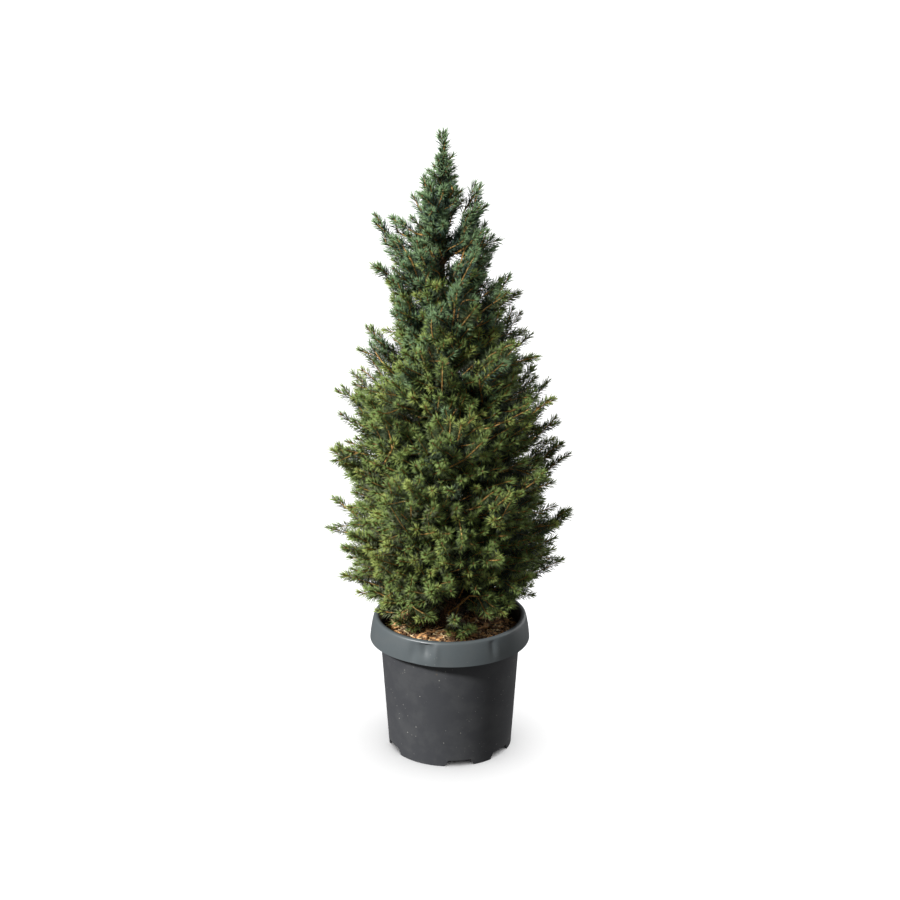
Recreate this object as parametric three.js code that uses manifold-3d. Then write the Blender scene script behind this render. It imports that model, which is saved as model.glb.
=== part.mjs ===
// A dwarf Alberta spruce, about 0.9 m tall over all, growing in its round nursery pot.
// Millimetres, +Z up. The origin is the middle of the pot's foot on the ground, and the front faces -Y.
// Azimuths are in degrees, counted from +X towards +Y, so the front is -90 and the left side is 180.

import * as THREE from "three";
import { mergeVertices } from "three/addons/utils/BufferGeometryUtils.js";
import Module from "manifold-3d";

const wasm = await Module();
wasm.setup();

// ---- driving dimensions ------------------------------------------------------------------------

const GAP = 0.4; // clearance kept between neighbouring solids
const MASS_GAP = 1.5; // and between neighbouring needle masses

// The pot: a thin moulded cup with a raised floor, a foot ring and a turned-out skirt below its lip
const POT_HEIGHT = 200;
const FOOT_RADIUS = 89.6;
const WALL_TAPER = 0.066; // how much the wall's radius grows for each millimetre of height
const WALL = 2;
const FOOT_WALL = 3;
const FLOOR_UNDERSIDE = 10;
const FLOOR_TOP = 12.5;
const LIP_INSIDE_RADIUS = 101.5;
const CREST_RADIUS = 105.5;
const SHOULDER_RADIUS = 110;
const SHOULDER_HEIGHT = 196.5;
const SKIRT_RADIUS = 115;
const SKIRT_BOTTOM = 165.5;
const LIP_THICKNESS = 2.5;
const LIP_ROUNDING = 1; // how far the crest stands above its two edges
const POT_SIDES = 32;

// Drainage notches in the foot ring, in pairs
const NOTCH_HEIGHT = 9;
const NOTCH_WIDTH = 43;
const NOTCH_TOP_WIDTH = 33;
const NOTCH_PAIRS = 3;
const NOTCH_PAIR_AZIMUTH = -58.5;
const NOTCH_SPACING = 45;
const NOTCH_DEPTH = 30;

// The potting mix, a little uneven on top and level where the trunk stands
const SOIL_EDGE = 177;
const SOIL_MIDDLE = 181;
const SOIL_UNEVEN = 1.6;
const TRUNK_PLACE_RADIUS = 26;

// The trunk: [height above the soil, radius], and how far its tip leans to the left
const TRUNK_TOP = 870;
const TRUNK_LEAN = 10.5;
const TRUNK_SWAY = 2.5;
const TRUNK_TAPER = [
  [0, 17],
  [9, 12.5],
  [26, 10],
  [120, 8.6],
  [330, 6],
  [520, 3.6],
  [689, 1.2],
];

// The crown's outline: [height, reach of the shoot tips from the pot's axis]
const OUTLINE = [
  [196, 88],
  [232, 122],
  [265, 154],
  [315, 167],
  [400, 164],
  [470, 161],
  [525, 151],
  [570, 133],
  [615, 113],
  [660, 90],
  [710, 76],
  [760, 61],
  [800, 45],
  [838, 26],
  [868, 13],
];

// Tiers of needle masses round the trunk, from the soil up. root is the height where a mass starts at
// the trunk and tip the height of its end; wide and tall are its half sizes; inner is how far from the
// trunk's skin it begins; azimuths are where its masses point, and fingers are the shoots that lead each.
const evenly = (count, first) => Array.from({ length: count }, (_, i) => first + (360 / count) * i);
const tier = (name, azimuths, [root, tip], [wide, tall], inner, fingers) => ({
  name, azimuths, root, tip, wide, tall, inner, fingers,
});
const TIERS = [
  tier("foot", [-76, 58, 134, 206], [190, 202], [24, 11], 34, 2),
  tier("low", evenly(6, -102), [222, 262], [46, 25], 30, 3),
  tier("broad", evenly(6, -78), [276, 338], [56, 40], 7, 3),
  tier("middle", evenly(6, -106), [350, 424], [57, 43], 7, 3),
  tier("waist", evenly(6, -84), [430, 508], [54, 43], 7, 3),
  tier("upper", evenly(5, -112), [508, 590], [48, 42], 6, 3),
  tier("high", evenly(5, -86), [580, 662], [39, 40], 6, 3),
  tier("crest", evenly(4, -43), [650, 732], [31, 38], 6, 3),
  tier("collar", [-8, 96, 186], [722, 800], [21, 32], 4, 2),
];

// The front of the lowest full tier is shorter and rides higher, clear of the potting mix
const FRONT_LIFT = 16;
const FRONT_SHORTER = 0.84;

// Single shoots that stand out of the crown: where each leaves it and where it ends
const LONG_SHOOTS = [
  { name: "outer", azimuth: 184, from: [52, 694], to: [99, 782] },
  { name: "inner", azimuth: 172, from: [38, 742], to: [80, 774] },
  { name: "lower", azimuth: 196, from: [58, 672], to: [101, 716] },
];
const LONG_SHOOT_RADIUS = 8.5;

// The leading shoot round the trunk's tip
const LEADER_FOOT = 806;
const LEADER_TOP = 889.5;
const LEADER_RADIUS = 12.5;

// Bare lower boughs, each carrying the mass it is named after
const BOUGH_ROOT_RADIUS = 3.6;
const BOUGH_TIP_RADIUS = 2;
const BOUGH_DROP = 6; // how far below its mass's root a bough leaves the trunk
const BOUGHS_IN_TIER = { foot: 4, low: 4 };

const SPREAD = 0.66; // how far the fingers of a mass fan out, as a share of its width
const UNEVEN = 0.17; // how much a mass's skin swells and sinks, as a share of its size
const BODY_RINGS = [0.06, 0.34, 0.66, 0.91]; // where a mass's rings stand along it, as shares of its length
const FULLEST = 0.56; // where along it a mass is thickest
const BODY_END = 0.88; // where a mass's body ends and only its fingers go on, as a share of its reach

// ---- helpers -----------------------------------------------------------------------------------

// Even numbers from 0 to 1 that repeat for a seed
function dice(seed) {
  let state = seed * 2654435761;
  return () => {
    state = (state + 0x6d2b79f5) | 0;
    let mixed = Math.imul(state ^ (state >>> 15), 1 | state);
    mixed = (mixed + Math.imul(mixed ^ (mixed >>> 7), 61 | mixed)) ^ mixed;
    return ((mixed ^ (mixed >>> 14)) >>> 0) / 4294967296;
  };
}

// The value at x on a line through [x, y] points
function alongLine(table, x) {
  if (x <= table[0][0]) return table[0][1];
  for (let i = 1; i < table.length; i++) {
    const [x0, y0] = table[i - 1];
    const [x1, y1] = table[i];
    if (x <= x1) return THREE.MathUtils.mapLinear(x, x0, x1, y0, y1);
  }
  return table[table.length - 1][1];
}

const outward = (azimuth) => {
  const turn = THREE.MathUtils.degToRad(azimuth);
  return new THREE.Vector3(Math.cos(turn), Math.sin(turn), 0);
};

// A closed three.js geometry as a solid
function solidOf(geometry) {
  geometry.deleteAttribute("normal");
  geometry.deleteAttribute("uv");
  const merged = mergeVertices(geometry, 1e-3);
  return new wasm.Manifold(
    new wasm.Mesh({
      numProp: 3,
      vertProperties: merged.attributes.position.array,
      triVerts: new Uint32Array(merged.index.array),
    }),
  );
}

// The largest body of a solid that a cut may have left in several
function largest(solid) {
  const bodies = solid.decompose();
  return bodies.reduce((best, body) => (body.volume() > best.volume() ? body : best));
}

// A skin over rings of corners, closed at each end by one point
function loft(rings, first, last) {
  const sides = rings[0].length;
  const corners = [first, ...rings.flat(), last];
  const at = (ring, i) => 1 + ring * sides + (i % sides);
  const faces = [];
  for (let i = 0; i < sides; i++) {
    faces.push(0, at(0, i + 1), at(0, i));
    for (let ring = 0; ring < rings.length - 1; ring++) {
      faces.push(at(ring, i), at(ring, i + 1), at(ring + 1, i + 1));
      faces.push(at(ring, i), at(ring + 1, i + 1), at(ring + 1, i));
    }
    faces.push(corners.length - 1, at(rings.length - 1, i), at(rings.length - 1, i + 1));
  }
  const geometry = new THREE.BufferGeometry().setFromPoints(corners);
  geometry.setIndex(faces);
  return solidOf(geometry);
}

// A round limb along a smooth path; radiusAt takes the share of its length
function limb(points, radiusAt, sides, steps) {
  const path = new THREE.CatmullRomCurve3(points);
  const frames = path.computeFrenetFrames(steps, false);
  const rings = frames.normals.map((normal, step) => {
    const share = step / steps;
    const middle = path.getPointAt(share);
    return Array.from({ length: sides }, (_, i) => {
      const turn = (i / sides) * 2 * Math.PI;
      return middle
        .clone()
        .addScaledVector(normal, Math.cos(turn) * radiusAt(share))
        .addScaledVector(frames.binormals[step], Math.sin(turn) * radiusAt(share));
    });
  });
  return loft(rings, path.getPointAt(0), path.getPointAt(1));
}

// ---- pot and soil ------------------------------------------------------------------------------

const wallRadius = (height) => FOOT_RADIUS + WALL_TAPER * height;

function turned(profile) {
  const points = profile.map(([radius, height]) => new THREE.Vector2(radius, height));
  return new THREE.LatheGeometry(points, POT_SIDES).rotateX(Math.PI / 2);
}

function potSolid() {
  const underLip = SHOULDER_HEIGHT - LIP_THICKNESS;
  const skirtInside = SKIRT_RADIUS - WALL;
  const lipEdge = POT_HEIGHT - LIP_ROUNDING;
  const cup = solidOf(
    turned([
      [0, FLOOR_UNDERSIDE],
      [FOOT_RADIUS - FOOT_WALL, FLOOR_UNDERSIDE],
      [FOOT_RADIUS - FOOT_WALL, 0],
      [FOOT_RADIUS, 0],
      [wallRadius(underLip), underLip],
      [SHOULDER_RADIUS - LIP_THICKNESS, underLip],
      [skirtInside, SKIRT_BOTTOM],
      [SKIRT_RADIUS, SKIRT_BOTTOM],
      [SHOULDER_RADIUS, SHOULDER_HEIGHT],
      [SHOULDER_RADIUS - LIP_ROUNDING, lipEdge],
      [CREST_RADIUS, POT_HEIGHT],
      [LIP_INSIDE_RADIUS + LIP_ROUNDING, lipEdge],
      [LIP_INSIDE_RADIUS, lipEdge - LIP_THICKNESS],
      [wallRadius(FLOOR_TOP) - WALL, FLOOR_TOP],
      [0, FLOOR_TOP],
    ]),
  );
  const outline = new THREE.Shape([
    new THREE.Vector2(-NOTCH_WIDTH / 2, -1),
    new THREE.Vector2(NOTCH_WIDTH / 2, -1),
    new THREE.Vector2(NOTCH_WIDTH / 2, 0),
    new THREE.Vector2(NOTCH_TOP_WIDTH / 2, NOTCH_HEIGHT),
    new THREE.Vector2(-NOTCH_TOP_WIDTH / 2, NOTCH_HEIGHT),
    new THREE.Vector2(-NOTCH_WIDTH / 2, 0),
  ]);
  let pot = cup;
  for (let pair = 0; pair < NOTCH_PAIRS; pair++) {
    for (const side of [-0.5, 0.5]) {
      const azimuth = NOTCH_PAIR_AZIMUTH + (360 / NOTCH_PAIRS) * pair + NOTCH_SPACING * side;
      const notch = new THREE.ExtrudeGeometry(outline, { depth: NOTCH_DEPTH, bevelEnabled: false })
        .rotateX(Math.PI / 2)
        .translate(0, 0.6 * NOTCH_DEPTH - FOOT_RADIUS, 0)
        .rotateZ(THREE.MathUtils.degToRad(azimuth + 90));
      pot = pot.subtract(solidOf(notch));
    }
  }
  return pot;
}

function soilSolid() {
  const inside = (height) => wallRadius(height) - WALL - GAP;
  const bottom = FLOOR_TOP + GAP;
  const geometry = turned([
    [0, bottom],
    [inside(bottom) - 0.6, bottom],
    [inside(SOIL_EDGE) - 1.2, SOIL_EDGE],
    [76, SOIL_EDGE + 1.5],
    [50, SOIL_MIDDLE],
    [TRUNK_PLACE_RADIUS, SOIL_MIDDLE],
    [0, SOIL_MIDDLE],
  ]);
  const corners = geometry.attributes.position;
  for (let i = 0; i < corners.count; i++) {
    const [x, y, z] = [corners.getX(i), corners.getY(i), corners.getZ(i)];
    const away = Math.hypot(x, y);
    if (z > SOIL_EDGE - 1 && away > TRUNK_PLACE_RADIUS + 1)
      corners.setZ(i, z + SOIL_UNEVEN * Math.sin(x / 11 + 1) * Math.cos(y / 9 - 0.5));
  }
  return solidOf(geometry);
}

// ---- trunk -------------------------------------------------------------------------------------

const TRUNK_FOOT = SOIL_MIDDLE + GAP;

// The trunk's middle at a height: it leans to the left and sways a little on the way
function trunkAt(height) {
  const share = THREE.MathUtils.clamp((height - TRUNK_FOOT) / (TRUNK_TOP - TRUNK_FOOT), 0, 1);
  const x = -TRUNK_LEAN * share ** 0.8 + TRUNK_SWAY * Math.sin(share * 7);
  const y = TRUNK_SWAY * Math.sin(share * 5 + 0.4) * share;
  return new THREE.Vector3(x, y, height);
}

// The trunk grown by some clearance, as rings stacked from its flat foot to its tip
function trunkSolid(grow = 0) {
  const sides = 8;
  const rootRibs = 5;
  const rings = TRUNK_TAPER.flatMap(([rise, radius], step) => {
    const next = TRUNK_TAPER[step + 1];
    const between = next && next[0] - rise > 120 ? [[(rise + next[0]) / 2, (radius + next[1]) / 2]] : [];
    return [[rise, radius], ...between];
  }).map(([rise, radius]) => {
    const middle = trunkAt(TRUNK_FOOT + rise);
    const flare = 0.16 * Math.exp(-rise / 12);
    return Array.from({ length: sides }, (_, i) => {
      const turn = (i / sides) * 2 * Math.PI;
      const swell = 1 + flare * Math.sin(rootRibs * turn + 1);
      const out = radius * swell + grow;
      return middle.clone().add(new THREE.Vector3(Math.cos(turn) * out, Math.sin(turn) * out, 0));
    });
  });
  return loft(rings, trunkAt(TRUNK_FOOT), trunkAt(TRUNK_TOP + 1.5 + grow));
}

// ---- needle masses -----------------------------------------------------------------------------

// A point on the line that a mass or bough follows: out from the trunk and upswept
function alongMass({ azimuth, root, tip, reach }, share) {
  const start = trunkAt(root).multiplyScalar(1 - share);
  const point = outward(azimuth).multiplyScalar(reach * share);
  point.x += start.x;
  point.y += start.y;
  point.z = root + (tip - root) * share ** 1.2;
  return point;
}

// One mass: an uneven lobe with fingers, which are the shoots that lead it, at its outer end
function massSolid(mass, grow = 0) {
  const roll = dice(mass.seed);
  const sides = mass.wide > 30 ? 6 : 5;
  const across = outward(mass.azimuth + 90);
  const starts = mass.inner / mass.reach;
  const body = BODY_RINGS.map((part) => {
    const share = starts + (BODY_END - starts) * part;
    const away = (part - FULLEST) / (part < FULLEST ? FULLEST : 1 - FULLEST);
    const fullness = Math.sqrt(1 - away * away);
    const middle = alongMass(mass, share);
    return Array.from({ length: sides }, (_, i) => {
      const turn = ((i + 0.5 * (roll() - 0.5)) / sides) * 2 * Math.PI;
      const swell = 1 + UNEVEN * (2 * roll() - 1);
      return middle
        .clone()
        .addScaledVector(across, Math.cos(turn) * (mass.wide * fullness * swell + grow))
        .add(new THREE.Vector3(0, 0, Math.sin(turn) * (mass.tall * fullness * swell + grow)));
    });
  });
  const overrun = grow / mass.reach;
  let solid = loft(
    body,
    alongMass(mass, starts - overrun),
    alongMass(mass, BODY_END + overrun),
  );
  for (const finger of mass.fingers) {
    const start = alongMass(mass, (starts + BODY_END) / 2);
    const end = outward(finger.azimuth).multiplyScalar(finger.reach + grow);
    end.z = finger.height + grow;
    const radiusAt = (share) => finger.thick * (1.2 - 0.6 * share) + grow;
    solid = solid.add(limb([start, end], radiusAt, 4, 1));
  }
  return solid;
}

// The masses of a tier, each a little different from the next
function tierMasses(tier, tierIndex) {
  return tier.azimuths.map((aim, i) => {
    const seed = 100 * (tierIndex + 1) + i;
    const roll = dice(seed);
    const vary = (size) => 1 + size * (2 * roll() - 1);
    const azimuth = aim + 9 * (roll() - 0.5);
    const facing = tier.name === "low" ? Math.max(0, -outward(aim).y) : 0;
    const tip = tier.tip + 0.5 * tier.tall * (roll() - 0.5) + FRONT_LIFT * facing;
    const shorter = THREE.MathUtils.lerp(1, FRONT_SHORTER, facing);
    const reach = alongLine(OUTLINE, tip) * vary(0.05) * shorter;
    const mass = {
      name: `foliage_${tier.name}_${i + 1}`,
      azimuth,
      root: tier.root + 0.25 * tier.tall * (roll() - 0.5),
      tip,
      reach,
      wide: tier.wide * vary(0.08),
      tall: tier.tall * vary(0.08),
      inner: alongLine(TRUNK_TAPER, tier.root - TRUNK_FOOT) + tier.inner,
      seed,
    };
    const fan = THREE.MathUtils.radToDeg((mass.wide * SPREAD) / reach);
    mass.fingers = Array.from({ length: tier.fingers }, (_, k) => {
      const height = tip + mass.tall * (k === 1 ? 0.8 : 0.25 * vary(1.6));
      return {
        azimuth: azimuth + fan * (k - (tier.fingers - 1) / 2) + 4 * (roll() - 0.5),
        height,
        reach: Math.min(reach * 1.02, shorter * alongLine(OUTLINE, height)) * vary(0.03),
        thick: Math.min(11, mass.tall * 0.42),
      };
    });
    return mass;
  });
}

function longShootSolid({ azimuth, from, to }, grow = 0) {
  const [start, end] = [from, to].map(([reach, height]) => {
    const point = outward(azimuth).multiplyScalar(reach);
    point.z = height;
    return point;
  });
  const bend = start.clone().lerp(end, 0.5);
  bend.addScaledVector(outward(azimuth), 4);
  bend.z -= 5;
  const radiusAt = (share) => LONG_SHOOT_RADIUS * (1 - 0.6 * share ** 3) + grow;
  return limb([start, bend, end], radiusAt, 6, 4);
}

function leaderSolid(grow = 0) {
  const rise = LEADER_TOP - LEADER_FOOT;
  const points = [0, 0.5, 1].map((share) => trunkAt(LEADER_FOOT + rise * share));
  const radiusAt = (share) => LEADER_RADIUS * (1 - 0.62 * share ** 1.4) + grow;
  return limb(points, radiusAt, 7, 4);
}

// ---- boughs ------------------------------------------------------------------------------------

// A bough under its mass: from the trunk, rising to the middle of the mass it carries
function boughSolid(mass) {
  const points = [0, 0.2, 0.42].map((share) => alongMass(mass, share));
  points[0].z -= BOUGH_DROP;
  const thinning = BOUGH_ROOT_RADIUS - BOUGH_TIP_RADIUS;
  return limb(points, (share) => BOUGH_ROOT_RADIUS - thinning * share, 5, 3);
}

// ---- assembly ----------------------------------------------------------------------------------

const finish = (color, roughness) =>
  new THREE.MeshStandardMaterial({ color, roughness, metalness: 0 });
const POT_FINISH = () => finish(0x3a3d40, 0.5);
const SOIL_FINISH = () => finish(0x5a3a24, 0.95);
const BARK_FINISH = () => finish(0x8a5a38, 0.9);
const NEEDLE_GREENS = [0x2f4a2a, 0x3a5a30, 0x48683a, 0x35523a];

const group = new THREE.Group();

function addNode(name, solid, material) {
  const made = solid.getMesh();
  const geometry = new THREE.BufferGeometry();
  geometry.setAttribute("position", new THREE.BufferAttribute(made.vertProperties, 3));
  geometry.setIndex(new THREE.BufferAttribute(made.triVerts, 1));
  geometry.computeVertexNormals();
  const mesh = new THREE.Mesh(geometry, material);
  mesh.name = name;
  group.add(mesh);
}

const SMOOTHING = 0.5; // how far a cut mass's skin may move as its slivers are merged, under MASS_GAP / 2

addNode("pot", potSolid(), POT_FINISH());
addNode("soil", soilSolid(), SOIL_FINISH());
addNode("trunk", trunkSolid(), BARK_FINISH());

// Each mass is cut back from the trunk and from what was placed before it, so that none of them touch
const placed = [];
const cutBack = (solid, others) => others.reduce((left, other) => left.subtract(other), solid);
function placeMass(name, nominal, grown, color) {
  const cut = cutBack(nominal, [trunkSolid(MASS_GAP), ...placed]);
  addNode(name, largest(cut.simplify(SMOOTHING)), finish(color, 0.9));
  placed.push(grown);
}

placeMass("foliage_leader", leaderSolid(), leaderSolid(MASS_GAP), NEEDLE_GREENS[3]);
for (const shoot of LONG_SHOOTS)
  placeMass(
    `foliage_long_shoot_${shoot.name}`,
    longShootSolid(shoot),
    longShootSolid(shoot, MASS_GAP),
    NEEDLE_GREENS[3],
  );

const masses = TIERS.flatMap(tierMasses);
masses.forEach((mass, i) =>
  placeMass(mass.name, massSolid(mass), massSolid(mass, MASS_GAP), NEEDLE_GREENS[i % NEEDLE_GREENS.length]),
);

// Each bough is cut back from the trunk and every mass, so it ends where it enters its own
for (const [tierName, count] of Object.entries(BOUGHS_IN_TIER)) {
  const carried = masses.filter(({ name }) => name.startsWith(`foliage_${tierName}_`));
  carried.slice(0, count).forEach((mass, i) => {
    const cut = cutBack(boughSolid(mass), [trunkSolid(GAP), ...placed]);
    addNode(`bough_${tierName}_${i + 1}`, largest(cut.simplify(GAP / 4)), BARK_FINISH());
  });
}

export default group;
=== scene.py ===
import math

import bmesh
import bpy
import numpy as np
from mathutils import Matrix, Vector, noise
from mathutils.bvhtree import BVHTree


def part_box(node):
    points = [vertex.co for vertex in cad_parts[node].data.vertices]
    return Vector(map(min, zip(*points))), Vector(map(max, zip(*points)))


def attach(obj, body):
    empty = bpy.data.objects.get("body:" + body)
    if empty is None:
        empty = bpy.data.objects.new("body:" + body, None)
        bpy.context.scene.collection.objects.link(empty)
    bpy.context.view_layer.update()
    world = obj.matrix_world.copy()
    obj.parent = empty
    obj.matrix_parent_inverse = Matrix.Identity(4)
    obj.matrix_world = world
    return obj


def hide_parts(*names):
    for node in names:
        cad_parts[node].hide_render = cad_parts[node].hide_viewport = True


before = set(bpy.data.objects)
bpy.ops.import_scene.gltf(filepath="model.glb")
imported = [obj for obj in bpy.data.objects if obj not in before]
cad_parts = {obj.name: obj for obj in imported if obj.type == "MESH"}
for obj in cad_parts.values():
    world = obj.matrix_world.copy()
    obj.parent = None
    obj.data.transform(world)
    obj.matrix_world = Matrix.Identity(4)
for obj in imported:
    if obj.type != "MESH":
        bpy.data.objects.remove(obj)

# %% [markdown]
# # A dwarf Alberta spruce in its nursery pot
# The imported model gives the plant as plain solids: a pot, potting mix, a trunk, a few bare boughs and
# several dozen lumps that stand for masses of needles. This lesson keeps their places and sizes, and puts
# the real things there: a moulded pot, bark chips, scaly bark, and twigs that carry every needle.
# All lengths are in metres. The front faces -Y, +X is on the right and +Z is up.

MM = 0.001
UP = np.array([0.0, 0.0, 1.0])
GOLDEN_ANGLE = math.pi * (3 - math.sqrt(5))

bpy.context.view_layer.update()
scene = bpy.context.scene
scene.view_settings.view_transform = "Standard"


# %% [markdown]
# ## Writing node trees as sentences
# A material or a Geometry Nodes tree can be drawn by hand in its editor, or built in the script. Built in
# the script, it can be read and changed like any other text. `Graph.add` makes any node from its type, its
# settings and what its sockets hold. `Number` wraps a socket so that `1 - mask * 0.5` adds its own Math
# nodes, which keeps the sums short.

# %% Node trees in the script
class Number:
    """A socket that holds a number and takes part in sums."""

    def __init__(self, graph, socket):
        self.graph, self.socket = graph, socket

    def maths(self, operation, *terms):
        node = self.graph.add("ShaderNodeMath", {"operation": operation}, dict(enumerate(terms)))
        return Number(self.graph, node.outputs[0])

    def __add__(self, other):
        return self.maths("ADD", self, other)

    def __radd__(self, other):
        return self.maths("ADD", other, self)

    def __sub__(self, other):
        return self.maths("SUBTRACT", self, other)

    def __rsub__(self, other):
        return self.maths("SUBTRACT", other, self)

    def __mul__(self, other):
        return self.maths("MULTIPLY", self, other)

    def __rmul__(self, other):
        return self.maths("MULTIPLY", other, self)

    def __gt__(self, other):
        return self.maths("GREATER_THAN", self, other)

    def __lt__(self, other):
        return self.maths("LESS_THAN", self, other)

    def ramp(self, low, high):
        """0 below low, 1 above high, and a smooth slope between them."""
        settings = {"interpolation_type": "SMOOTHSTEP"}
        node = self.graph.add("ShaderNodeMapRange", settings, {0: self, 1: low, 2: high})
        return Number(self.graph, node.outputs[0])


class Graph:
    """Adds nodes to a tree and joins their sockets."""

    def __init__(self, tree):
        self.tree = tree

    def add(self, kind, settings=None, sockets=None):
        node = self.tree.nodes.new(kind)
        for name, value in (settings or {}).items():
            setattr(node, name, value)
        for key, value in (sockets or {}).items():
            self.feed(self.find(node.inputs, key), value)
        return node

    @staticmethod
    def find(sockets, key):
        if isinstance(key, int):
            return sockets[key]
        return next(s for s in sockets if s.name == key and s.enabled)

    def feed(self, socket, value):
        source = value.socket if isinstance(value, Number) else value
        if isinstance(source, bpy.types.NodeSocket):
            self.tree.links.new(source, socket)
        else:
            socket.default_value = source


print("node tree tools ready")


# %% [markdown]
# ## Finishes
# Every finish is a Principled shader. What changes over a surface goes into its colour, its roughness or
# its bump, and is worked out from the piece's own coordinates, so that a pattern stays where it is when the
# object is moved. Colours are given as they look on a screen, 0 to 255, and turned into light.

# %% A finish and its patterns
def light(red, green, blue):
    """A screen colour as linear light, with full opacity."""
    def linear(value):
        value /= 255
        return value / 12.92 if value <= 0.04045 else ((value + 0.055) / 1.055) ** 2.4

    return (linear(red), linear(green), linear(blue), 1.0)


class Finish(Graph):
    """A material, its Principled shader and the patterns that feed it."""

    def __init__(self, name, colour, roughness, specular=0.5):
        self.material = bpy.data.materials.new(name)
        self.material.use_nodes = True
        super().__init__(self.material.node_tree)
        self.shader = self.tree.nodes["Principled BSDF"]
        self.shader.inputs["Base Color"].default_value = colour
        self.shader.inputs["Roughness"].default_value = roughness
        self.shader.inputs["Specular IOR Level"].default_value = specular
        self.material.diffuse_color = colour

    def place(self):
        return self.add("ShaderNodeTexCoord").outputs["Object"]

    def parts(self):
        """The three coordinates of the place, each as a number."""
        node = self.add("ShaderNodeSeparateXYZ", sockets={0: self.place()})
        return [Number(self, node.outputs[axis]) for axis in range(3)]

    def scaled(self, x, y, z):
        settings = {"operation": "MULTIPLY"}
        return self.add("ShaderNodeVectorMath", settings, {0: self.place(), 1: (x, y, z)}).outputs[0]

    def noise(self, scale, detail=4, roughness=0.5, place=None):
        sockets = {"Vector": place or self.place(), "Scale": scale, "Detail": detail, "Roughness": roughness}
        return Number(self, self.add("ShaderNodeTexNoise", sockets=sockets).outputs[0])

    def cells(self, scale, place=None):
        """Distance from the middle of the nearest cell, and a number that each cell draws."""
        node = self.add("ShaderNodeTexVoronoi", sockets={"Vector": place or self.place(), "Scale": scale})
        drawn = self.add("ShaderNodeSeparateColor", sockets={0: node.outputs["Color"]})
        return Number(self, node.outputs["Distance"]), Number(self, drawn.outputs[0])

    def mix(self, share, first, second):
        node = self.add("ShaderNodeMix", {"data_type": "RGBA"}, {"Factor": share, "A": first, "B": second})
        return node.outputs["Result"]

    def colour(self, value):
        self.feed(self.shader.inputs["Base Color"], value)

    def roughness(self, value):
        self.feed(self.shader.inputs["Roughness"], value)

    def bump(self, height, distance, strength=1.0):
        sockets = {"Height": height, "Distance": distance, "Strength": strength}
        self.feed(self.shader.inputs["Normal"], self.add("ShaderNodeBump", sockets=sockets).outputs[0])


print("finish tools ready")


# %% [markdown]
# ## Pieces and their trees
# A piece is a mesh whose place is in its points. What repeats is grown by Geometry Nodes on a carrier that
# only lasts for that one run: the tree ends in Realize Instances and Set Material, and the result is taken
# off as a plain mesh, with no modifier left.

# %% Making pieces
def mesh_of(name, corners, faces=(), edges=(), smooth=True):
    mesh = bpy.data.meshes.new(name)
    mesh.from_pydata([tuple(map(float, c)) for c in corners], list(edges), list(faces))
    mesh.validate()
    mesh.polygons.foreach_set("use_smooth", [smooth] * len(mesh.polygons))
    mesh.update()
    return mesh


def piece_of(name, mesh, material=None):
    piece = bpy.data.objects.new(name, mesh)
    scene.collection.objects.link(piece)
    if material:
        mesh.materials.clear()
        mesh.materials.append(material)
    return piece


def circle(radius, sides):
    """The points of a level ring, as x and y."""
    turns = np.arange(sides) * 2 * math.pi / sides
    return [(radius * math.cos(turn), radius * math.sin(turn)) for turn in turns]


def loft(rings, closed_ends=True):
    """Corners and faces of a skin over rings of equal count, with a middle point at each closed end."""
    rings = np.asarray(rings)
    count, sides = rings.shape[:2]
    corners = rings.reshape(-1, 3)
    faces = []
    for ring in range(count - 1):
        for i in range(sides):
            a, b = ring * sides + i, ring * sides + (i + 1) % sides
            faces.append((a, b, b + sides, a + sides))
    if closed_ends:
        corners = np.vstack([corners, rings[0].mean(0), rings[-1].mean(0)])
        last = (count - 1) * sides
        for i in range(sides):
            faces.append((count * sides, (i + 1) % sides, i))
            faces.append((count * sides + 1, last + i, last + (i + 1) % sides))
    return corners, faces


def new_tree(name, inputs):
    """A Geometry Nodes tree with a geometry input and the named inputs: {name: socket type}."""
    tree = bpy.data.node_groups.new(name, "GeometryNodeTree")
    tree.interface.new_socket("Geometry", in_out="INPUT", socket_type="NodeSocketGeometry")
    for label, kind in inputs.items():
        tree.interface.new_socket(label, in_out="INPUT", socket_type=f"NodeSocket{kind}")
    tree.interface.new_socket("Geometry", in_out="OUTPUT", socket_type="NodeSocketGeometry")
    graph = Graph(tree)
    return graph, graph.add("NodeGroupInput").outputs


def end_tree(graph, geometry, material):
    real = graph.add("GeometryNodeRealizeInstances", sockets={0: geometry}).outputs[0]
    painted = graph.add("GeometryNodeSetMaterial", sockets={"Geometry": real, "Material": material})
    graph.add("NodeGroupOutput", sockets={0: painted.outputs[0]})


def grown(name, tree, base, values, material):
    """The mesh that a tree makes from a base mesh, as a new piece."""
    carrier = piece_of(name + "_carrier", base)
    modifier = carrier.modifiers.new("grow", "NODES")
    modifier.node_group = tree
    for item in tree.interface.items_tree:
        if item.in_out == "INPUT" and item.name in {**values, "Material": material}:
            modifier[item.identifier] = material if item.name == "Material" else values[item.name]
    evaluated = carrier.evaluated_get(bpy.context.evaluated_depsgraph_get())
    mesh = bpy.data.meshes.new_from_object(evaluated)
    bpy.data.objects.remove(carrier)
    mesh.name = name
    piece = piece_of(name, mesh, material)
    mesh.calc_loop_triangles()
    print(f"{name}: {len(mesh.loop_triangles)} triangles")
    return piece


def settle(piece, slot, *nodes):
    """The piece rides on the plant's one body and stands for these solids; the slot is not used."""
    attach(piece, "root")
    if nodes:
        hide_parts(*nodes)


print("piece tools ready")


# %% [markdown]
# ## The pot
# A nursery pot is one thin moulding of charcoal plastic: a tapering wall, a foot ring with drainage
# notches, and a lip that turns out into a skirt. It could be a lathed curve with a boolean for each notch.
# Here each column of the section is worked out from its azimuth, so the notches, the soft dents in the
# skirt and the slight waviness of thin plastic are all part of one clean skin.

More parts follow.
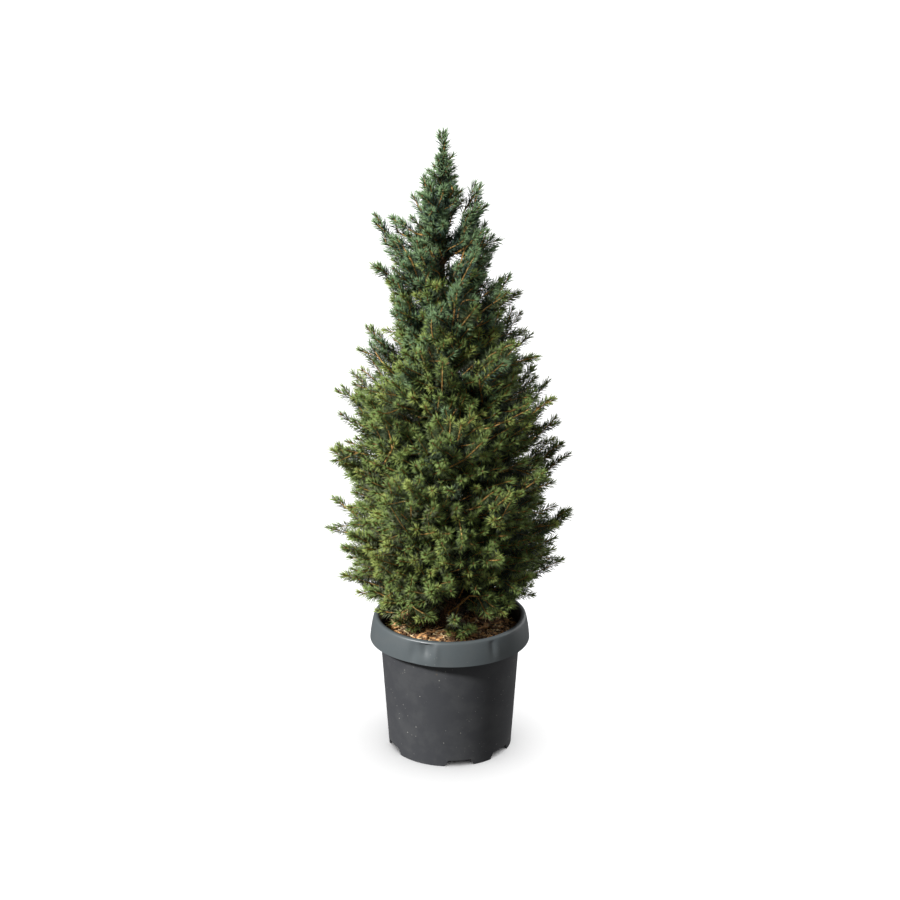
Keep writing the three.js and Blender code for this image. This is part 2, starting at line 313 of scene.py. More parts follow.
# %% The pot's sizes
POT_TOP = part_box("pot")[1].z
SKIRT_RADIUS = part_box("pot")[1].x
FOOT_RADIUS = SKIRT_RADIUS - 25.4 * MM
WALL_TAPER = 0.066
WALL = 2 * MM
FOOT_WALL = 3 * MM
FLOOR_UNDERSIDE = 10 * MM
FLOOR_TOP = 12.5 * MM
SKIRT_BOTTOM = POT_TOP - 34.5 * MM
NOTCH_HEIGHT = 9 * MM
NOTCH_HALF_FOOT = 21.5 * MM
NOTCH_HALF_TOP = 16.5 * MM
NOTCH_AZIMUTHS = [-58.5 + 120 * pair + 22.5 * side for pair in range(3) for side in (-1, 1)]
LIP_ROOT = 105.5 * MM  # where the wall has turned out and the skirt's inside begins
LIP_MIDDLE = 105.9 * MM  # the middle of the lip's outer round
LIP_ROUND_OUT = 3.9 * MM
LIP_ROUND_UP = 3.2 * MM
LIP_INNER_MIDDLE = 104.4 * MM
LIP_INNER_ROUND = 2.6 * MM
LIP_COLOUR_FROM = 104.2 * MM
SKIRT_LEAN = 5 * MM  # how much further out the skirt stands at its foot than at the lip
SKIRT_BELLY = 0.7 * MM
COLUMNS = 300
print("pot", round(2 * SKIRT_RADIUS, 4), "across,", round(POT_TOP, 4), "tall")


def wall_radius(height):
    return FOOT_RADIUS + WALL_TAPER * height


def foot_height(azimuth):
    """How far the foot's edge stands off the ground: 0, or the height inside a notch."""
    nearest = min(abs((azimuth - middle + 180) % 360 - 180) for middle in NOTCH_AZIMUTHS)
    away = math.radians(nearest) * FOOT_RADIUS
    return NOTCH_HEIGHT * float(np.clip((NOTCH_HALF_FOOT - away) / (NOTCH_HALF_FOOT - NOTCH_HALF_TOP), 0, 1))


def pot_azimuths():
    """Even columns, with more at each notch's four corners."""
    corners = [
        middle + math.degrees(side * half / FOOT_RADIUS)
        for middle in NOTCH_AZIMUTHS
        for half in (NOTCH_HALF_FOOT, NOTCH_HALF_TOP)
        for side in (-1, 1)
    ]
    even = [360 * i / COLUMNS for i in range(COLUMNS)]
    clear = [a for a in even if min(abs((a - c + 180) % 360 - 180) for c in corners) > 0.3]
    return sorted(clear + [c % 360 for c in corners])


# %% [markdown]
# ### The section, with its dents and waves
# A thin skirt is never quite true: it waves a little all round, and knocks leave soft dents. They could be
# sculpted by hand afterwards. Here each dent is a bell of depth on the skirt's own azimuth and height, so
# the inside and the outside of the thin wall move together and keep their thickness.

# %% Dents and waves of the thin plastic
# Each dent: azimuth, half width in degrees, height as a share of the skirt, depth
SKIRT_DENTS = [(-108, 4.2, 0.8, 4.6 * MM), (-100, 2.2, 0.6, -1.2 * MM), (-117, 3.5, 0.5, 2.4 * MM),
               (-58, 2, 0.75, 1.4 * MM), (-53, 2.5, 0.6, -0.5 * MM), (28, 5, 0.6, 2.6 * MM),
               (142, 4, 0.7, 3 * MM)]


DENT_HALF_HEIGHT = 0.42
SKIRT_SWAY = 0.5 * MM
EDGE_WAVE_LONG = 0.8 * MM
EDGE_WAVE_SHORT = 0.4 * MM


def skirt_push(azimuth, share):
    """How far the skirt is pushed in at an azimuth and a share of its height."""
    push = SKIRT_SWAY * math.sin(math.radians(3 * azimuth + 40)) * (1 - share)
    for middle, half, high, depth in SKIRT_DENTS:
        turn = ((azimuth - middle + 180) % 360 - 180) / half
        push += depth * math.exp(-turn * turn) * math.exp(-(((share - high) / DENT_HALF_HEIGHT) ** 2))
    return push


def edge_wave(azimuth):
    """How far the skirt's lower edge rises at an azimuth."""
    long_wave = EDGE_WAVE_LONG * math.sin(math.radians(2 * azimuth + 15))
    return max(0.0, long_wave + EDGE_WAVE_SHORT * math.sin(math.radians(5 * azimuth)))


def pot_section(azimuth):
    """The pot's section at an azimuth, from the middle of its underside round to the middle of its floor."""
    foot = foot_height(azimuth)
    skirt_foot = SKIRT_BOTTOM + edge_wave(azimuth)
    under_lip = POT_TOP - 6 * MM
    points = [(0.0, FLOOR_UNDERSIDE), (0.5 * FOOT_RADIUS, FLOOR_UNDERSIDE)]
    points += [(FOOT_RADIUS - FOOT_WALL, FLOOR_UNDERSIDE), (FOOT_RADIUS - FOOT_WALL, foot + 0.4 * MM)]
    points += [(FOOT_RADIUS - FOOT_WALL + 0.4 * MM, foot), (wall_radius(foot) - 0.5 * MM, foot)]
    points += [(wall_radius(foot + 0.5 * MM), foot + 0.5 * MM)]
    for share in (0.04, 0.12, 0.3, 0.5, 0.7, 0.85, 0.94, 1):
        height = foot + (under_lip - foot) * share
        points.append((wall_radius(height), height))
    points += [(wall_radius(under_lip) + 1.5 * MM, under_lip + 0.8 * MM), (LIP_ROOT, under_lip + 0.9 * MM)]
    for share in (0.97, 0.8, 0.6, 0.4, 0.2, 0.06):
        height = skirt_foot + (under_lip - skirt_foot) * share
        radius = SKIRT_RADIUS - WALL - (SKIRT_LEAN + 0.2 * MM) * share - skirt_push(azimuth, share)
        points.append((radius, height))
    lowest = SKIRT_RADIUS - skirt_push(azimuth, 0)
    points += [(lowest - WALL, skirt_foot + 0.3 * MM), (lowest - 0.5 * WALL, skirt_foot)]
    shoulder = POT_TOP - LIP_ROUND_UP
    for share in (0.01, 0.05, 0.12, 0.25, 0.4, 0.55, 0.7, 0.85, 0.95):
        height = skirt_foot + (shoulder - skirt_foot) * share
        belly = SKIRT_BELLY * math.sin(math.pi * share)
        points.append((SKIRT_RADIUS - SKIRT_LEAN * share + belly - skirt_push(azimuth, share), height))
    for turn in (8, 28, 50, 72, 90):
        angle = math.radians(turn)
        outward, up = LIP_ROUND_OUT * math.cos(angle), LIP_ROUND_UP * math.sin(angle)
        points.append((LIP_MIDDLE + outward, shoulder + up))
    for turn in (25, 50, 75):
        angle = math.radians(turn)
        inward, down = LIP_INNER_ROUND * math.sin(angle), LIP_INNER_ROUND * (1 - math.cos(angle))
        points.append((LIP_INNER_MIDDLE - inward, POT_TOP - down))
    for height in (POT_TOP - 5 * MM, POT_TOP - 15 * MM, POT_TOP - 40 * MM, 0.5 * POT_TOP, FLOOR_TOP):
        points.append((wall_radius(height) - WALL, height))
    points += [(0.5 * FOOT_RADIUS, FLOOR_TOP), (0.0, FLOOR_TOP)]
    return points


def pot_mesh():
    azimuths = pot_azimuths()
    sections = [pot_section(a) for a in azimuths]
    corners, faces = [], []
    rows, columns = len(sections[0]), len(azimuths)
    for azimuth, section in zip(azimuths, sections):
        turn = math.radians(azimuth)
        corners += [(r * math.cos(turn), r * math.sin(turn), z) for r, z in section]
    for column in range(columns):
        here, there = column * rows, (column + 1) % columns * rows
        faces += [(here + i, there + i, there + i + 1, here + i + 1) for i in range(rows - 1)]
    mesh = mesh_of("pot_moulding", corners, faces)
    shape = bmesh.new()
    shape.from_mesh(mesh)
    bmesh.ops.remove_doubles(shape, verts=shape.verts, dist=1e-6)
    bmesh.ops.dissolve_degenerate(shape, edges=shape.edges, dist=1e-6)
    bmesh.ops.recalc_face_normals(shape, faces=shape.faces)
    shape.to_mesh(mesh)
    shape.free()
    mesh.polygons.foreach_set("use_smooth", [True] * len(mesh.polygons))
    mesh.set_sharp_from_angle(angle=math.radians(38))
    return mesh


print("skirt dents", len(SKIRT_DENTS), "and points in a section", len(pot_section(0)))


# %% [markdown]
# ### The pot's plastic
# The plastic is charcoal, finely pebbled by its mould and satin on the turned lip. The lip is coloured paler
# than
# the wall: partly its own tone and partly a painted sheen of the sky on its upturned face. Outdoors it
# gathers pale dust, which sits as small specks on the wall, thicker near the foot and at the left, with short
# scuffs and a few tan smudges under the skirt. All of it is mixed from noise and cells on the pot's own
# coordinates.

# %% Pot finish
WALL_CHARCOAL = light(56, 57, 60)
# The lip's colour is paler than the wall's: partly its own tone, partly a painted sheen of the sky on its
# upturned face.
LIP_CHARCOAL_AND_SHEEN = light(77, 83, 85)
# Painted shade: the inside of the pot, the same plastic, is coloured near black for the shade in it.
INSIDE_PAINTED_SHADE = light(30, 31, 33)
DUST = light(172, 170, 162)
TAN_DUST = light(150, 124, 88)


def pot_finish():
    finish = Finish("charcoal_plastic", WALL_CHARCOAL, 0.46)
    x, y, z = finish.parts()
    on_lip = (z > SKIRT_BOTTOM - 1 * MM) * ((x * x + y * y) > LIP_COLOUR_FROM**2)
    inner_edge = z * WALL_TAPER + (FOOT_RADIUS - 1 * MM)
    inside = (x * x + y * y) < inner_edge * inner_edge
    blotches = finish.noise(28, 5, 0.6)
    # Painted sheen: the lip is coloured paler than the wall, partly for the sky it faces.
    colour = finish.mix(on_lip, WALL_CHARCOAL, LIP_CHARCOAL_AND_SHEEN)
    colour = finish.mix(blotches.ramp(0.42, 0.66) * 0.18, colour, light(92, 93, 92))

    distance, drawn = finish.cells(330)
    specks = (distance < (drawn - 0.84) * 1.7) * finish.noise(24, 3).ramp(0.4, 0.6)
    large_distance, large_drawn = finish.cells(85)
    large = large_distance < (large_drawn - 0.9) * 1.1
    hairlines = finish.noise(900, 2, 0.5, finish.scaled(1, 1, 0.12)).ramp(0.72, 0.76)
    scratches = hairlines * finish.noise(34, 3).ramp(0.52, 0.66)
    near_foot = (1 - z.ramp(0, 38 * MM)) * finish.noise(60, 5, 0.7).ramp(0.42, 0.75)
    dust = specks * 0.62 + large * 0.8 + scratches * 0.22 + near_foot * 0.16
    colour = finish.mix(dust.ramp(0, 1) * (1 - on_lip * 0.75), colour, DUST)

    under_skirt = z.ramp(135 * MM, 160 * MM) * (1 - on_lip) * (x < 0.0) * (y < -0.07)
    smudges = finish.noise(75, 4, 0.65).ramp(0.6, 0.72) * under_skirt
    colour = finish.mix(smudges * 0.5, colour, TAN_DUST)
    # Painted shade: everything inside the wall's outer face, the inner wall, the floor and the underside, is
    # coloured dark.
    colour = finish.mix(inside, colour, INSIDE_PAINTED_SHADE)
    finish.colour(colour)
    finish.roughness(0.5 - on_lip * 0.13 + finish.noise(120, 3) * 0.08 + dust * 0.1)
    finish.bump(finish.noise(1500, 2, 0.6) + finish.noise(90, 3) * 0.7, 0.12 * MM, 0.6)
    return finish.material


pot = piece_of("pot_moulding", pot_mesh(), pot_finish())
settle(pot, "pot_plastic", "pot")
print("pot faces", len(pot.data.polygons))


# %% [markdown]
# ## The potting mix
# The mix is dark, damp, bark-based compost, about 20 mm below the lip. Its body is a low mound with a crumb
# relief from fractal noise. The chips that show on top are separate shards of bark in three colours,
# scattered by Geometry Nodes, because a bump alone would look flat from the side.

# %% The mix's body
SOIL_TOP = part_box("soil")[1].z - 2 * MM
SOIL_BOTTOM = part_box("soil")[0].z
SOIL_RINGS = 46
SOIL_SIDES = 150


def soil_height(x, y):
    """The surface: level at the middle, a little lower by the wall, and crumbly."""
    away = math.hypot(x, y) / (100 * MM)
    place = Vector((x, y, 0)) * 60
    crumbs = noise.fractal(place * 2.6, 0.8, 2.2, 5) * 1.5 * MM
    return SOIL_TOP - 2.5 * MM * away**2 + noise.noise(place) * 1.8 * MM + crumbs


def soil_mesh():
    outside = wall_radius(SOIL_TOP) - WALL - 0.4 * MM
    inside_foot = wall_radius(SOIL_BOTTOM) - WALL - 1 * MM
    rings = [
        [(x, y, height) for x, y in circle(radius, SOIL_SIDES)]
        for radius, height in ((inside_foot, SOIL_BOTTOM), (outside, SOIL_TOP - 4 * MM))
    ]
    for ring in range(SOIL_RINGS):
        radius = outside * (1 - (ring + 0.4) / SOIL_RINGS)
        rings.append([(x, y, soil_height(x, y)) for x, y in circle(radius, SOIL_SIDES)])
    return mesh_of("soil_body", *loft(rings))


def soil_finish():
    finish = Finish("damp_mix", light(90, 66, 46), 0.92, 0.25)
    crumbs = finish.noise(420, 6, 0.7)
    flecks = finish.cells(520)[1]
    colour = finish.mix(crumbs.ramp(0.35, 0.7), light(46, 33, 24), light(142, 102, 68))
    colour = finish.mix((flecks > 0.88) * 0.6, colour, light(182, 142, 96))
    finish.colour(colour)
    finish.bump(crumbs + finish.noise(1400, 3) * 0.4, 0.8 * MM)
    return finish.material


soil = piece_of("soil_body", soil_mesh(), soil_finish())
settle(soil, "potting_mix", "soil")
print("mix surface", round(SOIL_TOP, 4))


# %% [markdown]
# ### Bark chips and fibres
# The top of the mix is a litter of shredded bark: rust-brown and dark chips, paler split wood, and thin
# fibres. Each could be laid by hand or dropped by a rigid body run. Scattering is enough, as they lie thin on
# a nearly level bed: one Geometry Nodes tree sows a kind of shard over the bed, turns it any way and tips
# it a little.

# %% Bark chips
def chip_mesh(name, sides, thinness, seed):
    """A flat pointed shard, one unit long, with an uneven outline."""
    roll = np.random.default_rng(seed)
    outline = []
    for i in range(sides):
        turn = 2 * math.pi * i / sides
        reach = 0.5 * (1 + 0.3 * roll.uniform(-1, 1))
        outline.append((reach * math.cos(turn), thinness * reach * math.sin(turn), 0.0))
    thick = 0.16 * thinness + 0.03
    lift = [thick * roll.uniform(0.5, 1.1) for _ in outline]
    top = [(0.82 * x, 0.8 * y, z) for (x, y, _), z in zip(outline, lift)]
    return mesh_of(name, *loft([outline, top]), smooth=False)


def scatter_tree():
    """Chips laid on a surface: each at a random place, turned any way, tipped a little, long or short."""
    inputs = {"Chip": "Object", "Per Square Metre": "Float", "Shortest": "Float", "Longest": "Float",
              "Tip": "Float", "Seed": "Int", "Material": "Material"}
    graph, given = new_tree("chip_scatter", inputs)
    sown = graph.add(
        "GeometryNodeDistributePointsOnFaces",
        {"distribute_method": "RANDOM"},
        {"Mesh": given["Geometry"], "Density": given["Per Square Metre"], "Seed": given["Seed"]},
    )
    tip = Number(graph, given["Tip"])
    turned = [
        graph.add("FunctionNodeRandomValue", {"data_type": "FLOAT"}, {"Min": low, "Max": high, "Seed": seed})
        for low, high, seed in ((tip * -1, tip, 1), (tip * -1, tip, 2), (0.0, 2 * math.pi, 3))
    ]
    turn = graph.add("ShaderNodeCombineXYZ", sockets=dict(enumerate(t.outputs["Value"] for t in turned)))
    size = graph.add(
        "FunctionNodeRandomValue",
        {"data_type": "FLOAT"},
        {"Min": given["Shortest"], "Max": given["Longest"], "Seed": 4},
    )
    chip = graph.add("GeometryNodeObjectInfo", sockets={"Object": given["Chip"]})
    laid = graph.add(
        "GeometryNodeInstanceOnPoints",
        sockets={
            "Points": sown.outputs["Points"],
            "Instance": chip.outputs["Geometry"],
            "Rotation": turn.outputs[0],
            "Scale": size.outputs["Value"],
        },
    )
    end_tree(graph, laid.outputs[0], given["Material"])
    return graph.tree


def chip_finish(name, dark, pale):
    finish = Finish(name, pale, 0.85, 0.3)
    grain = finish.noise(350, 5, 0.65)
    finish.colour(finish.mix(grain.ramp(0.3, 0.7), dark, pale))
    finish.bump(grain, 0.5 * MM)
    return finish.material


BED_OUTSIDE = 94 * MM
BED_INSIDE = 12 * MM
BED_ABOVE = 0.6 * MM
BED_RINGS = 18
BED_SIDES = 60


def bed_mesh():
    """The part of the mix's surface that chips lie on, a little inside the wall."""
    rings = [
        [(x, y, soil_height(x, y) + BED_ABOVE) for x, y in circle(radius, BED_SIDES)]
        for radius in np.linspace(BED_OUTSIDE, BED_INSIDE, BED_RINGS)
    ]
    return mesh_of("chip_bed", *loft(rings, closed_ends=False))


# Each kind: name, dark and pale colours, sides, thinness, count on a square metre, lengths, tip, seed
CHIP_KINDS = [
    ("chips_rust", (128, 89, 55), (214, 164, 109), 7, 0.5, 8000, (7, 24), 0.5, 11),
    ("chips_tan", (202, 164, 112), (246, 226, 180), 6, 0.34, 8000, (6, 20), 0.45, 12),
    ("chips_dark", (50, 38, 27), (132, 96, 66), 7, 0.6, 17000, (5, 16), 0.55, 13),
    ("fibres_pale", (206, 172, 120), (244, 222, 178), 4, 0.07, 9000, (8, 26), 0.3, 14),
]
scattering = scatter_tree()
for name, dark, pale, sides, thinness, count, (shortest, longest), tip, seed in CHIP_KINDS:
    shape = piece_of(name + "_shape", chip_mesh(name + "_shape", sides, thinness, seed))
    values = {"Chip": shape, "Per Square Metre": float(count), "Shortest": shortest * MM,
              "Longest": longest * MM, "Tip": tip, "Seed": seed}
    chips = grown(name, scattering, bed_mesh(), values, chip_finish(name, light(*dark), light(*pale)))
    bpy.data.objects.remove(shape)
    settle(chips, "potting_mix", "soil")


# %% [markdown]
# ## Trunk and bare boughs
# A young spruce's bark is thin, scaly and orange-brown, with the stubs of old needles. The trunk and the
# bare lower boughs follow their solids: the middle and radius of each ring are read from the frame, the
# skin between them is made finer, and noise lifts it into small plates. The relief is real geometry, so
# the outline of the trunk's foot is rough too.

# %% Reading a limb's line from its solid
def solid_points(node):
    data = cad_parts[node].data
    corners = np.empty(len(data.vertices) * 3)
    data.vertices.foreach_get("co", corners)
    return np.unique(np.round(corners.reshape(-1, 3), 5), axis=0)


def trunk_rings():
    """[height, x, y, radius] for each level ring of the trunk, from its foot to its tip."""
    corners = solid_points("trunk")
    rings = []
    for height in np.unique(corners[:, 2]):
        level = corners[corners[:, 2] == height]
        middle = (level.min(0) + level.max(0)) / 2
        radius = np.linalg.norm(level - middle, axis=1).max()
        rings.append([height, middle[0], middle[1], max(radius, 0.4 * MM)])
    return np.array(rings)


TRUNK = trunk_rings()


def trunk_at(height):
    """The trunk's middle and radius at a height."""
    x, y, radius = (float(np.interp(height, TRUNK[:, 0], TRUNK[:, k])) for k in (1, 2, 3))
    return np.array([x, y, height]), radius


def bough_line(node, steps=4):
    """Points along a bare bough, from the trunk outwards."""
    corners = solid_points(node)
    away = np.linalg.norm(corners[:, :2] - TRUNK[0, 1:3], axis=1)
    start, end = corners[away.argmin()], corners[away.argmax()]
    along = (corners - start) @ (end - start) / ((end - start) @ (end - start))
    bins = np.clip((along * steps).astype(int), 0, steps - 1)
    middles = [corners[bins == k].mean(0) for k in range(steps) if (bins == k).any()]
    return np.array([start, *middles, end])


print("trunk", TRUNK[0].round(4), "to", TRUNK[-1].round(4))


# %% [markdown]
# ### Bark that stands out
# Bark could be painted or bumped on a smooth tube, but its plates show at the trunk's edge, where it flares
# over the mix. So a limb is lofted ring by ring along a smooth line, and every corner is lifted by cells,
# for the plates and the cracks between them, and by finer noise. The sides never twist, because each ring's
# first direction is carried on from the last.

# %% Bark relief
def smooth_line(points, spacing):
    """Points along a smooth curve through the given ones, evenly spaced, with their directions."""
    points = np.asarray(points, float)
    padded = np.vstack([2 * points[0] - points[1], points, 2 * points[-1] - points[-2]])
    found = []
    for k in range(1, len(padded) - 2):
        a, b, c, d = padded[k - 1 : k + 3]
        for t in np.linspace(0, 1, 12, endpoint=False):
            found.append(0.5 * (2 * b + (c - a) * t + (2 * a - 5 * b + 4 * c - d) * t**2
                                + (3 * b - a - 3 * c + d) * t**3))
    found = np.array([*found, points[-1]])
    length = np.concatenate([[0], np.cumsum(np.linalg.norm(np.diff(found, axis=0), axis=1))])
    count = max(3, int(length[-1] / spacing) + 1)
    even = np.linspace(0, length[-1], count)
    line = np.column_stack([np.interp(even, length, found[:, k]) for k in range(3)])
    headings = np.gradient(line, axis=0)
    return line, headings / np.linalg.norm(headings, axis=1, keepdims=True)


def bark_rise(place, radius):
    """How far the bark stands out at a place: scaly plates with cracks between them."""
    stretched = Vector((place[0], place[1], 0.45 * place[2])) * 190
    distances = noise.voronoi(stretched)[0]
    plate = min(1.0, 2.4 * (distances[1] - distances[0]))
    rough = noise.fractal(Vector(place) * 500, 0.9, 2.1, 3)
    return radius * (0.09 * plate + 0.05 * rough)


def barked(line, headings, radii, sides):
    """A limb's skin with the bark's relief."""
    rings = []
    side = np.cross(headings[0], [0.37, 0.91, 0.13])
    for middle, heading, radius in zip(line, headings, radii):
        side = side - heading * (side @ heading)
        side /= np.linalg.norm(side)
        other = np.cross(heading, side)
        ring = []
        for turn in np.arange(sides) * 2 * math.pi / sides:
            out = side * math.cos(turn) + other * math.sin(turn)
            place = middle + out * radius
            ring.append(middle + out * (radius * 0.95 + bark_rise(place, radius)))
        rings.append(ring)
    return loft(rings)


def bark_finish(name, deep, plates, edges):
    finish = Finish(name, plates, 0.88, 0.3)
    scales = finish.cells(150, finish.scaled(1, 1, 0.5))[0]
    rough = finish.noise(420, 6, 0.65)
    colour = finish.mix(rough.ramp(0.35, 0.62), deep, plates)
    finish.colour(finish.mix(scales.ramp(0.3, 0.6) * rough.ramp(0.5, 0.7) * 0.7, colour, edges))
    finish.bump(rough + scales * 0.6, 0.5 * MM)
    return finish.material


TRUNK_STEP = 1.6 * MM
TRUNK_SIDES = 36

old_bark = bark_finish("scaly_bark", light(52, 38, 28), light(112, 84, 58), light(160, 130, 96))
levels = [trunk_at(height) for height in np.arange(TRUNK[0, 0], TRUNK[-1, 0], TRUNK_STEP)]
line = np.array([middle for middle, _ in levels])
trunk_skin = barked(line, np.tile(UP, (len(line), 1)), [radius for _, radius in levels], TRUNK_SIDES)
trunk = piece_of("trunk_bark", mesh_of("trunk_bark", *trunk_skin), old_bark)
settle(trunk, "bark", "trunk")
print("trunk bark faces", len(trunk.data.polygons))


# %% [markdown]
# ## How the crown grows
# Each lump of the frame is the space that one bough's needles fill. Scattering needles in that space would
# make a cloud, so it is grown as a real branch is. One bough runs from the trunk through the lump to its
# furthest tip. Then every place on the lump's open skin asks for a shoot, from the inside out, and the
# nearest limb that points that way sends one. Each shoot leaves at an angle, curves up towards the light
# and ends at the skin, so the crown keeps its outline and its gaps. All draws come from one fixed seed.

# %% The masses and their open skin
roll = np.random.default_rng(20)
MASSES = sorted(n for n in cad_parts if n.startswith("foliage_"))
CROWN_LOW = min(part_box(n)[0].z for n in MASSES)
CROWN_HIGH = max(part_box(n)[1].z for n in MASSES)
SPACING_LOW = 18.5 * MM
SPACING_HIGH = 12.5 * MM
LAST_NEEDLES = 4 * MM  # how far the last needles stand past a shoot's own end
AIR_AHEAD = 90 * MM  # how far a shoot's way out is looked along


def mass_surface(node):
    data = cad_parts[node].data
    data.calc_loop_triangles()
    corners = np.empty(len(data.vertices) * 3)
    data.vertices.foreach_get("co", corners)
    faces = np.empty(len(data.loop_triangles) * 3, int)
    data.loop_triangles.foreach_get("vertices", faces)
    return corners.reshape(-1, 3), faces.reshape(-1, 3)


SURFACES = {node: mass_surface(node) for node in MASSES}
offsets = np.cumsum([0] + [len(SURFACES[n][0]) for n in MASSES])
ALL_SKINS = BVHTree.FromPolygons(
    [tuple(c) for n in MASSES for c in SURFACES[n][0]],
    [tuple(int(v) + int(offset) for v in f) for n, offset in zip(MASSES, offsets) for f in SURFACES[n][1]],
)


def outward_from_trunk(place):
    away = place - trunk_at(place[2])[0]
    away[2] = 0
    return away / max(np.linalg.norm(away), 1e-9)


def is_open(place, normal):
    """Whether a shoot at this place on the skin would reach the open air."""
    start = Vector(place + normal * 1.5 * MM)
    towards = Vector(outward_from_trunk(place) + 0.45 * UP).normalized()
    return ALL_SKINS.ray_cast(start, towards, AIR_AHEAD)[0] is None


def skin_places(node, spacing):
    """Open places on a mass's skin, with their normals, no two closer than the spacing."""
    corners, faces = SURFACES[node]
    a, b, c = (corners[faces[:, k]] for k in range(3))
    crossed = np.cross(b - a, c - a)
    areas = np.linalg.norm(crossed, axis=1) / 2
    tries = int(areas.sum() / spacing**2 * 9) + 10
    chosen = roll.choice(len(faces), tries, p=areas / areas.sum())
    u, v = np.sqrt(roll.random(tries)), roll.random(tries)
    spots = (1 - u)[:, None] * a[chosen] + (u * (1 - v))[:, None] * b[chosen] + (u * v)[:, None] * c[chosen]
    normals = crossed[chosen] / (2 * areas[chosen])[:, None]
    kept, kept_normals = [], []
    for spot, normal in zip(spots, normals):
        if kept and np.linalg.norm(np.array(kept) - spot, axis=1).min() < spacing:
            continue
        if is_open(spot, normal):
            kept.append(spot)
            kept_normals.append(normal)
    return list(zip(kept, kept_normals))


def shoot_spacing(node):
    """Shoots stand closer together where the masses are slimmer, near the top."""
    share = (SURFACES[node][0][:, 2].mean() - CROWN_LOW) / (CROWN_HIGH - CROWN_LOW)
    return float(np.interp(share, [0.45, 0.8], [SPACING_LOW, SPACING_HIGH]))


tips = {node: skin_places(node, shoot_spacing(node)) for node in MASSES}
print("open places on the skins:", sum(map(len, tips.values())))


# %% [markdown]
# ### Between and behind the masses
# The lumps leave clefts between them that a real crown fills with shoots. The crown's outer reach is
# measured all round by rays towards the trunk and smoothed over its neighbours; wherever the skin lies
# well inside that reach, a shoot is asked for just under it. A second, sparser layer further in makes the
# middle of the crown dark and hides the far side, and its shoots are also painted in the dark shade greens.

# %% The crown's reach and the places that fill it
AZIMUTHS = 60
HEIGHT_STEP = 11 * MM
LEVELS = np.arange(CROWN_LOW + 48 * MM, CROWN_HIGH - 12 * MM, HEIGHT_STEP)
BEYOND_CROWN = 300 * MM


def level_way(turn):
    return np.array([math.cos(turn), math.sin(turn), 0.0])


def skin_reach(turn, height):
    """How far from the trunk the outermost skin stands, in one direction and at one height."""
    way = level_way(turn)
    start = trunk_at(height)[0] + BEYOND_CROWN * way
    hit = ALL_SKINS.ray_cast(Vector(start), Vector(-way), BEYOND_CROWN)
    return 0.0 if hit[0] is None else BEYOND_CROWN - hit[3]


TURNS = np.arange(AZIMUTHS) * 2 * math.pi / AZIMUTHS
REACH = np.array([[skin_reach(t, z) for t in TURNS] for z in LEVELS])


# The share of neighbours, in percent, that the smoothed reach clears: fuller low down than near the top
FULLNESS_HEIGHTS = [560 * MM, 640 * MM]
FULLNESS_SHARES = [88, 66]


def smoothed_reach():
    """The reach that most of the neighbours within 12 degrees and 22 mm stay under."""
    shares = np.interp(LEVELS, FULLNESS_HEIGHTS, FULLNESS_SHARES)
    shifted = []
    for up in (-2, -1, 0, 1, 2):
        rows = np.clip(np.arange(len(LEVELS)) + up, 0, len(LEVELS) - 1)
        shifted += [np.roll(REACH[rows], round_by, axis=1) for round_by in (-2, -1, 0, 1, 2)]
    shifted = np.array(shifted)
    return np.array([np.percentile(shifted[:, row], share, axis=0) for row, share in enumerate(shares)])


SMOOTHED = smoothed_reach()
FILL_TRIES = 9000
FILL_LEAST_REACH = 20 * MM
CLEFT_SHARE = 0.93  # the skin is in a cleft where it stands below this share of the smoothed reach
CLEFT_SPACING = 17 * MM
INNER_SPACING = 26 * MM


def fill_places(spacing, share_low, share_high, only_clefts):
    """Places at a share of the crown's reach, apart by the spacing, with their outward directions."""
    kept, ways = [], []
    for _ in range(FILL_TRIES):
        row, column = roll.integers(len(LEVELS)), roll.integers(AZIMUTHS)
        reach = SMOOTHED[row, column] * roll.uniform(share_low, share_high)
        if roll.random() * SMOOTHED.max() > SMOOTHED[row, column] or reach < FILL_LEAST_REACH:
            continue
        if only_clefts and REACH[row, column] > CLEFT_SHARE * SMOOTHED[row, column]:
            continue
        way = level_way(TURNS[column] + roll.uniform(-0.5, 0.5) * 2 * math.pi / AZIMUTHS)
        height = LEVELS[row] + roll.uniform(-0.5, 0.5) * HEIGHT_STEP
        place = trunk_at(height)[0] + way * reach
        if kept and np.linalg.norm(np.array(kept) - place, axis=1).min() < spacing:
            continue
        kept.append(place)
        ways.append(way)
    return list(zip(kept, ways))


CENTRES = {node: SURFACES[node][0].mean(0) for node in MASSES}


def nearest_mass(place):
    return min(MASSES, key=lambda node: np.linalg.norm(CENTRES[node] - place))


clefts = fill_places(CLEFT_SPACING, 0.92, 1.04, True)
inner = fill_places(INNER_SPACING, 0.4, 0.8, False)
for place, way in clefts + inner:
    tips[nearest_mass(place)].append((place, way))
INNER_PLACES = np.array([place for place, _ in inner])
print("places in the clefts:", len(clefts), "and further in:", len(inner))


# %% [markdown]
# ### The young top and the shoots that lead
# Near its tip the trunk is young and sends small shoots straight out, in a spiral that narrows to the top.
# And all round a real crown single strong shoots outgrow their neighbours, which makes its outline spiky. A
# row of them could be placed by eye, but then it would only suit one view. So a shoot is asked for
# wherever the skin stands further out than anywhere near it, and it ends a little past the skin.

# %% Shoots of the young top and leading shoots
YOUNG_TOP_LOW = 690 * MM
YOUNG_TOP_HIGH = 866 * MM
YOUNG_TOP_STEP = 3.6 * MM
YOUNG_TOP_CONE = 0.5  # how far out its shoots reach, for each millimetre below the tip
YOUNG_TOP_LEAST = 15 * MM
LEADING_BY = 7 * MM


